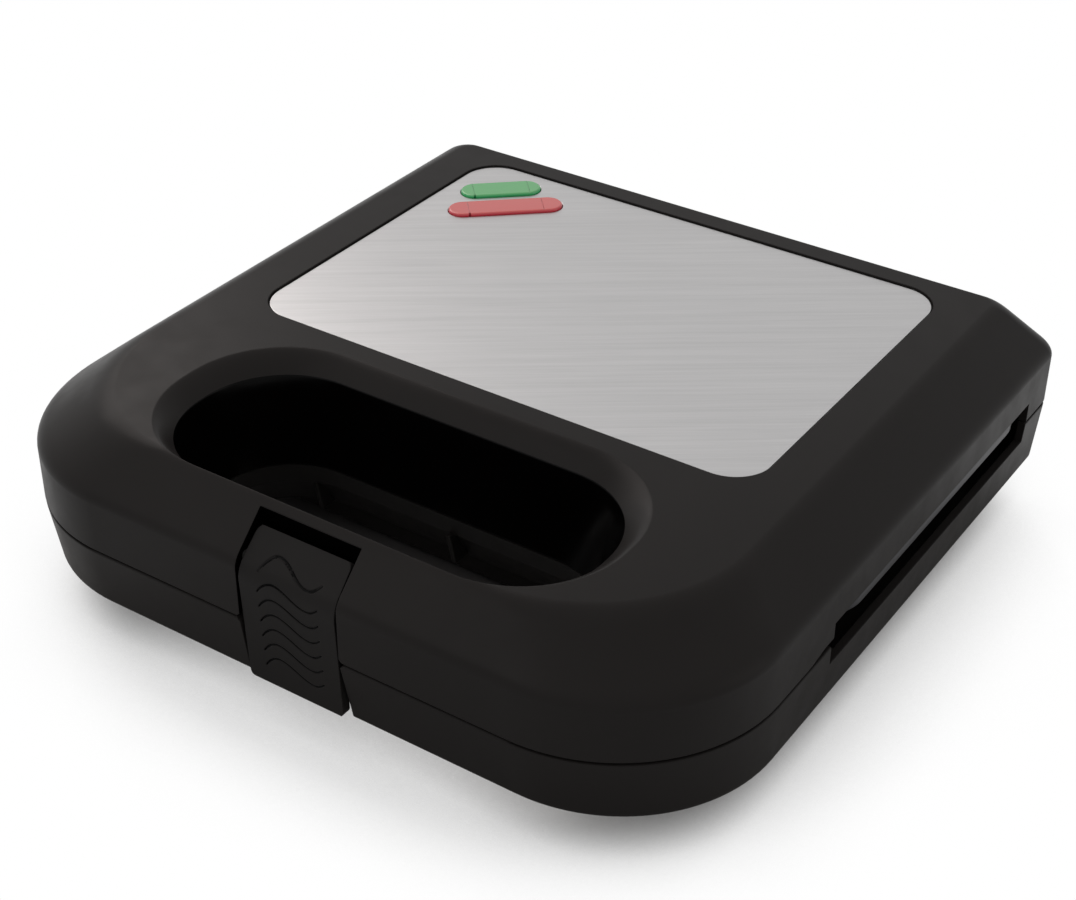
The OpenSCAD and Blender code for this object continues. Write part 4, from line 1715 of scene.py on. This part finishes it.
    def build(self) -> Piece:
        """Builds the latch with its boss, hook, bore and grooves.

        Returns:
            The latch.
        """
        (by, bz), (ty, tz) = self.bend, self.tab
        back, foot = by + self.thick, bz - self.length
        outer = [self.skin(self.bend_reach - 0.82 * i) for i in range(11)]
        toe_y = by + self.length * self.lean
        toe = blend_curve((toe_y, foot + 1.6), (toe_y, foot), (toe_y + 1.5, foot), 6)
        profile = [(ty, tz)] + outer + toe + [(toe_y + self.thick, foot), (back, bz - 2), (ty + 1.9, tz - 2)]
        latch = prism("latch_clip", profile, -self.width / 2, self.width / 2)
        corner = loft("latch_outline", self.face_rings(foot, tz))
        combine(latch, [corner], "INTERSECT")
        half = self.width / 2
        parts = [
            prism("hook", self.hook_profile(back), -self.hook_half, self.hook_half),
            prism("arm", self.arm_profile(back), 0.1 - half, half - 0.1),
            prism("boss", circle(self.pivot, self.boss_r, 36), -half, half),
        ]
        combine(latch, parts, "UNION")
        bore = circle(self.pivot, self.pin_bore_r, 24)
        combine(latch, [prism("bore", bore, -half - 1, half + 1), *self.groove_tubes()], "DIFFERENCE")
        return smooth(latch, 35)

    def hook_profile(self, back: float) -> list[Point2]:
        """Profile of the hook under the base's catch, from the back of the clip."""
        y, z = SIZE.front_y + self.recess_d - CATCH_REACH + 1.5, SIZE.base_rim_z - CATCH_DROP - 0.35
        return [(back - 1, z - 5), (back + 0.8, z - 4.5), (y, z - 1.6), (y, z), (back - 1, z)]

    def arm_profile(self, back: float) -> list[Point2]:
        """Profile of the web between the clip's back and its boss."""
        y, z = self.pivot
        return [(back - 1, z - 3.4), (y - 1, z - 1.8), (y - 1, z + 0.8), (back - 1, z - 0.8)]

    def face_rings(self, foot: float, top: float) -> list[Ring]:
        """Rounded outline of the latch seen from the front.

        Args:
            foot: Height of its lower edge.
            top: Height of its upper edge.

        Returns:
            The outline as two rings along y.
        """
        half = self.width / 2
        tab = half - 0.35
        outline: list[Point2] = []
        for cx, cz, radius, start in (
            (half - 2.6, foot + 2.6, 2.6, -90),
            (tab - 1.8, top - 1.8, 1.8, 0),
            (1.8 - tab, top - 1.8, 1.8, 90),
            (2.6 - half, foot + 2.6, 2.6, 180),
        ):
            arc = [math.radians(start + 11.25 * i) for i in range(9)]
            outline += [(cx + radius * math.cos(a), cz + radius * math.sin(a)) for a in arc]
            if start == -90:
                outline.append((half, self.bend[1]))
            if start == 90:
                outline.append((-half, self.bend[1]))
        y0, y1 = self.bend[0] - 1, SIZE.front_y + self.recess_d
        return upright(outline, (y1, y0))


# ---------------------------------------------------------------- cooking plates


# Below a plate's rim: the seat of a screw's head, the plate's deepest face, and the shield's seat under that.
WELL_SEAT = 2.6
PLATE_DEEP = 13.7
SHIELD_DROP = 6.6


@dataclass
class CookingPlate:
    """A cast plate with four triangular pockets, its rim face at z = 0 and its pockets going down."""

    width: float = 217.0
    depth: float = 124.0
    radius: float = 14.0
    pocket_h: float = 11.5
    thick: float = 2.2
    rib: float = 5.0
    margin: float = 6.0
    taper: float = 5.0
    pocket_r: float = 9.0
    well_r: float = 4.6
    head_r: float = 3.3
    shank_r: float = 1.7

    def ring(self, inset: float, z: float, reach: float, steps: int = 14) -> Ring:
        """Outline of the plate at a height.

        Args:
            inset: Inset all round.
            z: Height.
            reach: Extra width at each side.
            steps: Segments in each quarter turn.

        Returns:
            The ring's points.
        """
        radius = self.radius - inset
        half_w, half_d = self.width / 2 + reach - inset, self.depth / 2 - inset
        return at_height(rounded_outline(half_w, -half_d, half_d, radius, radius, steps), z)

    def corners(self, rear: bool, side: int) -> list[Vector]:
        """The three corners of one pocket.

        Args:
            rear: True for the rear triangle of its half.
            side: 1 for the right-hand half, -1 for the left.

        Returns:
            Corners in anticlockwise order.
        """
        x0, x1 = self.rib / 2 + 2, self.width / 2 - self.margin - 3
        y0, y1 = -self.depth / 2 + self.margin + 2, self.depth / 2 - self.margin - 2
        land = self.rib * 0.75
        flat = [(x0 + 2 * land, y0), (x1, y0), (x1, y1 - 2 * land)]
        if rear:
            flat = [(x1 - 2 * land, y1), (x0, y1), (x0, y0 + 2 * land)]
        points = [Vector((side * x, y)) for x, y in flat]
        return points if side > 0 else list(reversed(points))

    def pocket_ring(self, corners: Sequence[Vector], inset: float, radius: float, z: float) -> Ring:
        """Rounded triangle at a height.

        Args:
            corners: The triangle's corners.
            inset: How far it is inset.
            radius: Radius of its corners.
            z: Height.

        Returns:
            The ring's points.
        """
        steps = 12
        out: Ring = []
        for k in range(3):
            here, last, ahead = corners[k], corners[(k + 2) % 3], corners[(k + 1) % 3]
            a, b = (last - here).normalized(), (ahead - here).normalized()
            half = math.acos(max(-1.0, min(1.0, a.dot(b)))) / 2
            centre = here + (a + b).normalized() * ((radius + inset) / math.sin(half))
            start = math.atan2(a.y, a.x) + math.pi / 2
            for j in range(steps + 1):
                turn = start + (math.pi - 2 * half) * j / steps
                out.append((centre.x + radius * math.cos(turn), centre.y + radius * math.sin(turn), z))
        return out

    def pocket(self, corners: Sequence[Vector], grow: float, bottom: float, top: float) -> Piece:
        """Solid of one pocket with a dished floor.

        Args:
            corners: The triangle's corners.
            grow: Growth outwards.
            bottom: Height of the floor.
            top: Height of the mouth.

        Returns:
            The solid.
        """
        levels = blend_curve((self.taper + 3.5, 0.0), (self.taper, 0.02), (self.taper * 0.55, 0.25), 6)
        levels += [(self.taper * 0.2, 0.65), (0.0, 1.0)]
        rings = []
        for inset, share in levels:
            radius = max(self.pocket_r - inset * 0.6, 2.5)
            rings.append(self.pocket_ring(corners, inset - grow, radius, bottom + (top - bottom) * share))
        return loft("pocket", rings)

    def build(self, name: str, screws: Sequence[Point2], reach: float) -> Piece:
        """Builds the plate.

        Args:
            name: Name of the object.
            screws: Places of its three screws.
            reach: How far its rim reaches past the pockets' half at each side.

        Returns:
            The plate's object.
        """
        edge = [(0.8, -5), (0.25, -4.2), (0, -3), (0, -1.2), (0.15, -0.7), (0.5, -0.25), (1.4, 0)]
        plate = loft(name, [self.ring(inset, z, reach) for inset, z in edge])
        pockets = [self.corners(rear, side) for side in (-1, 1) for rear in (False, True)]
        wells = [self.well(x, y, self.well_r, -5, -1) for x, y in screws]
        under = loft("under", [self.ring(2.4, -6, reach), self.ring(2.4, -self.thick, reach)])
        deep = -self.pocket_h - self.thick
        keep = [self.pocket(corners, self.thick, deep, -1) for corners in pockets]
        keep += [self.well(x, y, self.well_r, -6.5, -1) for x, y in screws]
        combine(under, keep, "DIFFERENCE")
        combine(plate, [under], "DIFFERENCE")
        trays = [self.pocket(corners, self.thick, deep, -1) for corners in pockets]
        combine(plate, trays + wells, "UNION")
        cuts = [self.pocket(c, 0, -self.pocket_h, 0.01) for c in pockets]
        for radius, bottom in ((self.head_r, -WELL_SEAT), (self.shank_r, -7)):
            cuts += [self.well(x, y, radius, bottom, 1) for x, y in screws]
        combine(plate, cuts, "DIFFERENCE")
        return smooth(plate, 34)

    def well(self, x: float, y: float, radius: float, z0: float, z1: float) -> Piece:
        """A round solid for a screw well, from z0 to z1."""
        return move(lathe("well", [(0, z0), (radius, z0), (radius, z1), (0, z1)], 32), shift(x, y))


def set_plate(plate: Piece, rim_z: float, over: bool) -> None:
    """Moves a plate's mesh to its rim height, turned over for the lid.

    Args:
        plate: The plate.
        rim_z: Height of its rim face.
        over: True for the upper plate.
    """
    if over:
        plate.data.transform(Matrix.Diagonal((1, 1, -1, 1)))
        plate.data.flip_normals()
    move(plate, shift(0, SIZE.plate_y, rim_z))


# ---------------------------------------------------------------- small hardware


@dataclass
class Screws:
    """Pan-head screws with a cross recess."""

    head_r: float = 2.9
    head_h: float = 1.6
    shank_r: float = 1.5
    drive_l: float = 1.5
    drive_w: float = 0.24
    drive_d: float = 0.9

    def build(self, name: str, places: Sequence[Point2], seat_z: float, length: float, up: bool) -> Piece:
        """Builds a set of screws as one object.

        Args:
            name: Name of the object.
            places: Places of the screws.
            seat_z: Height of the face under their heads.
            length: Length of the shanks.
            up: True where the heads point up.

        Returns:
            The screws.
        """
        crown = blend_curve((self.head_r, 0.0), (self.head_r, self.head_h), (0.0, self.head_h), 9)
        tip, shank = self.shank_r - 0.3, self.shank_r
        profile = [(0.0, -length), (tip, -length), (shank, -length + 0.6), (shank, 0.0)] + crown
        screw = lathe(name, profile, 28)
        low = (-self.drive_l, -self.drive_w, self.head_h - self.drive_d)
        high = (self.drive_l, self.drive_w, self.head_h + 1)
        turns = [Matrix.Rotation(math.radians(turn), 4, "Z") for turn in (45, 135)]
        cutters = [move(block("drive", low, high), turn) for turn in turns]
        combine(screw, cutters, "DIFFERENCE")
        over = Matrix.Rotation(0.0 if up else math.pi, 4, "X")
        copy_to(screw, [shift(x, y + SIZE.plate_y, seat_z) @ over for x, y in places])
        return smooth(screw, 32)


@dataclass
class Feet:
    """Four rubber feet with a chamfered tread and a dished middle."""

    radius: float = 8.0
    places: tuple[Point2, ...] = ((-82, -50), (82, -50), (-82, 50), (82, 50))

    def build(self) -> Piece:
        """Builds the feet.

        Returns:
            All four as one object.
        """
        top, r = SIZE.foot_h, self.radius
        tread = [(0, 0.5), (3.4, 0.5), (3.9, 0.0), (r - 1.4, 0.0), (r - 0.7, 0.25), (r - 0.1, 0.9)]
        profile = tread + [(r, top - 0.8), (r - 0.2, top), (0, top)]
        foot = lathe("rubber_foot_set", profile, 40)
        return smooth(copy_to(foot, [shift(x, y + SIZE.plate_y) for x, y in self.places]), 32)


PLATE_SCREWS: tuple[Point2, ...] = ((99.5, 53.0), (-99.5, 53.0), (0.0, -53.0))
SHIELD_SCREWS: tuple[Point2, ...] = ((-78, -42), (78, -42), (-78, 14), (78, 14))


@dataclass
class CarriedNodes:
    """CAD nodes that keep their own shape and only get a finish."""

    finishes: dict[str, Finish] = field(
        default_factory=lambda: {
            "lower_heating_element": HEATED,
            "upper_heating_element": HEATED,
            "lower_heat_shield": SHEET,
            "upper_heat_shield": SHEET,
            "thermostat": CERAMIC,
            "thermal_fuse": CERAMIC,
            "terminal_block": CERAMIC,
            "lamp_holder": CERAMIC,
            "red_lamp": GLOW_GLASS,
            "green_lamp": GLOW_GLASS,
            "cord_gland": GRIP_BLACK,
            "base_hinge_brackets": BLACK_METAL,
            "lid_hinge_brackets": BLACK_METAL,
            "hinge_pins": PLATED,
            "latch_pin": BLACK_METAL,
        }
    )

    def dress(self) -> None:
        """Gives each node its finish."""
        for name, finish in self.finishes.items():
            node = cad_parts[name]
            if not node.material_slots:
                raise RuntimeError(f"{name} has no material slot")
            for place in node.material_slots:
                place.link = "OBJECT"
                place.material = finish.material()
            LOG.info("%s keeps its CAD shape", name)


# ---------------------------------------------------------------- studio


@dataclass(frozen=True)
class AreaLamp:
    """One soft box, placed in metres."""

    name: str
    where: Point3
    aim: Point3
    size: Point2
    power: float
    colour: Colour = (1.0, 1.0, 1.0)

    def build(self) -> None:
        """Adds the lamp to the scene."""
        data = bpy.data.lights.new(self.name, "AREA")
        data.shape = "RECTANGLE"
        data.size, data.size_y = self.size
        data.energy = self.power
        data.color = self.colour
        lamp = bpy.data.objects.new(self.name, data)
        lamp.location = self.where
        lamp.rotation_mode = "QUATERNION"
        lamp.rotation_quaternion = (Vector(self.aim) - Vector(self.where)).to_track_quat("-Z", "Y")
        bpy.context.scene.collection.objects.link(lamp)


@dataclass
class Studio:
    """Camera, floor, world and lamps. The eye is in millimetres, and every other length in metres."""

    focal_px: float = 1991.67
    frame_px: Point2 = (1076.0, 900.0)
    azimuth: float = 33.665
    elevation: float = 33.562
    roll: float = 0.451
    eye: Point3 = (271.0, -293.3, 289.3)
    floor_grey: Colour = (0.45, 0.45, 0.45)
    # Painted shadow: the dark colour of the floor patch under the toaster's middle, then that patch's half
    # size and soft edge in metres.
    painted_belly_shadow: Colour = (0.08, 0.075, 0.075)
    shelter: float = 0.16
    belly_half: Point2 = (0.078, 0.034)
    belly_soft: float = 0.012
    floor_white: tuple[tuple[tuple[str, ...], Point2], ...] = (
        (("Is Camera Ray", "Is Transmission Ray"), (0.2, 0.7)),
        (("Is Glossy Ray",), (0.7, 1.0)),
    )
    world_tint: Colour = (1.0, 0.985, 0.97)
    world_level: float = 0.58
    world_gloss: float = 0.8
    lamps: tuple[AreaLamp, ...] = (
        AreaLamp("key", (-0.5, 0.15, 0.5), (0, 0, 0.05), (0.45, 0.45), 1.65, (1.0, 0.92, 0.88)),
        AreaLamp("fill", (-0.5, -1.0, 0.9), (0, 0, 0.03), (0.9, 0.9), 2.0, (1.0, 0.98, 0.96)),
        AreaLamp("side", (1.3, 0.4, 0.5), (0.1, 0, 0.03), (0.6, 0.9), 1.2, (1.0, 0.95, 0.9)),
    )

    def camera(self) -> None:
        """Adds the camera, from its place relative to the front wall and the lid's top."""
        a, e, r = (math.radians(v) for v in (self.azimuth, self.elevation, self.roll))
        back = Vector((math.sin(a) * math.cos(e), -math.cos(a) * math.cos(e), math.sin(e)))
        right = (-back).cross(Vector((0, 0, 1))).normalized()
        up = right.cross(-back)
        x_axis = right * math.cos(r) + up * math.sin(r)
        y_axis = up * math.cos(r) - right * math.sin(r)
        data = bpy.data.cameras.new("camera")
        data.sensor_fit = "HORIZONTAL"
        data.sensor_width = 36.0
        data.lens = self.focal_px * data.sensor_width / self.frame_px[0]
        data.clip_start, data.clip_end = 0.01, 20
        camera = bpy.data.objects.new("camera", data)
        turn = Matrix((x_axis, y_axis, back)).transposed().to_4x4()
        place = Vector((self.eye[0], self.eye[1] + SIZE.front_y, self.eye[2] + SIZE.top_z)) * MM
        camera.matrix_world = Matrix.Translation(place) @ turn
        bpy.context.scene.collection.objects.link(camera)
        bpy.context.scene.camera = camera

    def floor(self) -> None:
        """Adds the pale floor: white where it lies open, and near the toaster fading by ambient occlusion to
        its really lit grey, a painted contact shade, with a painted dark shadow patch under the toaster's
        middle.
        """
        bm = bmesh.new()
        bmesh.ops.create_grid(bm, x_segments=2, y_segments=2, size=6.0)
        mesh = bpy.data.meshes.new("floor")
        bm.to_mesh(mesh)
        bm.free()
        floor = bpy.data.objects.new("floor", mesh)
        bpy.context.scene.collection.objects.link(floor)
        graph = Graph("pale_floor")
        graph.set(Roughness=0.9)
        tree, path = graph.tree, graph.node("LightPath")
        openness = graph.node("AmbientOcclusion", samples=12, Distance=self.shelter).outputs["AO"]
        # Painted contact shade: the studio white fades out by ambient occlusion close to the toaster, so that
        # the floor there shows its really lit grey.
        shares = []
        for rays, (low, high) in self.floor_white:
            seen = strongest(tree, [path.outputs[ray] for ray in rays])
            shares.append(two_way(tree, "MULTIPLY", seen, graph.ramp(openness, low, high, (0.0, 1.0))))
        # Painted shadow: inside a patch under the toaster's middle the floor's colour is painted dark and it
        # gets no studio white.
        apart = graph.node("SeparateXYZ")
        graph.link(graph.node("TexCoord").outputs["Object"], apart.inputs[0])
        beside = []
        for axis, half in enumerate(self.belly_half):
            away = graph.node("Math", operation="ABSOLUTE")
            graph.link(apart.outputs[axis], away.inputs[0])
            beside.append(graph.ramp(away.outputs[0], half, half + self.belly_soft, (0.0, 1.0)))
        clear = strongest(tree, beside)
        graph.tint(clear, self.painted_belly_shadow, self.floor_grey)
        share = two_way(tree, "MULTIPLY", strongest(tree, shares), clear)
        white = graph.node("Emission", Color=(1, 1, 1, 1), Strength=1.0)
        blend_shaders(tree, share, graph.shader.outputs[0], white.outputs[0], graph.out.inputs[0])
        mesh.materials.append(graph.material)

    def world(self) -> None:
        """Sets a soft grey world that looks white to the camera and in reflections."""
        world = bpy.data.worlds.new("studio")
        bpy.context.scene.world = world
        world.use_nodes = True
        tree = world.node_tree
        tree.nodes.clear()
        out = add_node(tree, "OutputWorld")
        soft = add_node(tree, "Background", Color=(*self.world_tint, 1), Strength=self.world_level)
        white = add_node(tree, "Background", Color=(1, 1, 1, 1), Strength=1.0)
        rays = add_node(tree, "LightPath").outputs
        mirrored = add_node(tree, "Math", operation="MULTIPLY")
        mirrored.inputs[1].default_value = self.world_gloss
        tree.links.new(rays["Is Glossy Ray"], mirrored.inputs[0])
        seen = strongest(tree, [rays["Is Camera Ray"], rays["Is Transmission Ray"], mirrored.outputs[0]])
        blend_shaders(tree, seen, soft.outputs[0], white.outputs[0], out.inputs[0])

    def build(self) -> None:
        """Builds the whole studio."""
        self.camera()
        self.floor()
        self.world()
        for lamp in self.lamps:
            lamp.build()
        bpy.context.scene.view_settings.view_transform = "Standard"


# ---------------------------------------------------------------- assembly


@dataclass
class Toaster:
    """The whole toaster, built body by body."""

    opening: HandOpening = field(default_factory=HandOpening)
    panel: TopPanel = field(default_factory=TopPanel)
    latch: Latch = field(default_factory=Latch)
    plate: CookingPlate = field(default_factory=CookingPlate)
    screws: Screws = field(default_factory=Screws)

    def build_base(self) -> None:
        """Builds what stands on the worktop."""
        shell = BaseShell(self.opening)
        base = shell.build(self.latch)
        settle(base, Body.BASE, BLACK, ["base_housing"])
        for gusset in shell.gussets():
            settle(gusset, Body.BASE, BLACK)
        settle(shell.catch(), Body.BASE, BLACK)
        settle(Feet().build(), Body.BASE, SOFT, ["rubber_feet"])

    def build_lid(self) -> None:
        """Builds what opens."""
        lamps = LampWindows(self.panel)
        lid = LidShell(self.opening).build(self.panel, lamps, self.latch)
        settle(lid, Body.LID, BLACK, ["lid_housing"])
        # The hand opening's walls and the latch recess take the glossier finish, whose darker colour is
        # painted shade.
        second_finish(lid, POLISHED_SHADED, lambda place: self.opening.holds(place) or self.latch.in_recess(place))
        settle(self.panel.build(lamps), Body.LID, STEEL, ["top_panel"])
        lamps.build()

    def build_plates(self) -> None:
        """Builds both cooking plates and all the screws."""
        # The rims of the lower and the upper plate, with a hairline between them.
        low, high = SIZE.base_rim_z + 0.1, SIZE.base_rim_z + 0.6
        for name, rim_z, over, body, reach in (
            ("lower_plate", low, False, Body.BASE, 0.0),
            ("upper_plate", high, True, Body.LID, 5.0),
        ):
            plate = self.plate.build(name + "_cast", PLATE_SCREWS, reach)
            set_plate(plate, rim_z, over)
            settle(plate, body, COATING, [name.replace("_plate", "_cooking_plate")])
        sets = (
            ("lower_plate_screws", PLATE_SCREWS, low - WELL_SEAT, 9.0, True, Body.BASE),
            ("upper_plate_screws", PLATE_SCREWS, high + WELL_SEAT, 9.0, False, Body.LID),
            ("lower_shield_screws", SHIELD_SCREWS, low - PLATE_DEEP - SHIELD_DROP, 7.0, True, Body.BASE),
            ("upper_shield_screws", SHIELD_SCREWS, high + PLATE_DEEP + SHIELD_DROP, 5.0, False, Body.LID),
        )
        for name, places, seat_z, length, up, body in sets:
            made = self.screws.build(name + "_set", places, seat_z, length, up)
            settle(made, body, PLATED, [name])

    def build_latch(self) -> None:
        """Builds the latch."""
        latch = self.latch.build()
        settle(latch, Body.LATCH, GRIP_BLACK, ["latch"])
        # The grooves' walls take the glossier finish, whose darker colour is painted shade.
        second_finish(latch, POLISHED_SHADED, self.latch.in_groove)


def main() -> None:
    """Builds the studio and the toaster in order."""
    logging.basicConfig(level=logging.INFO, format="%(name)s: %(message)s")
    Studio().build()
    toaster = Toaster()
    toaster.build_base()
    toaster.build_lid()
    toaster.build_plates()
    toaster.build_latch()
    CarriedNodes().dress()


if __name__ == "__main__":
    main()
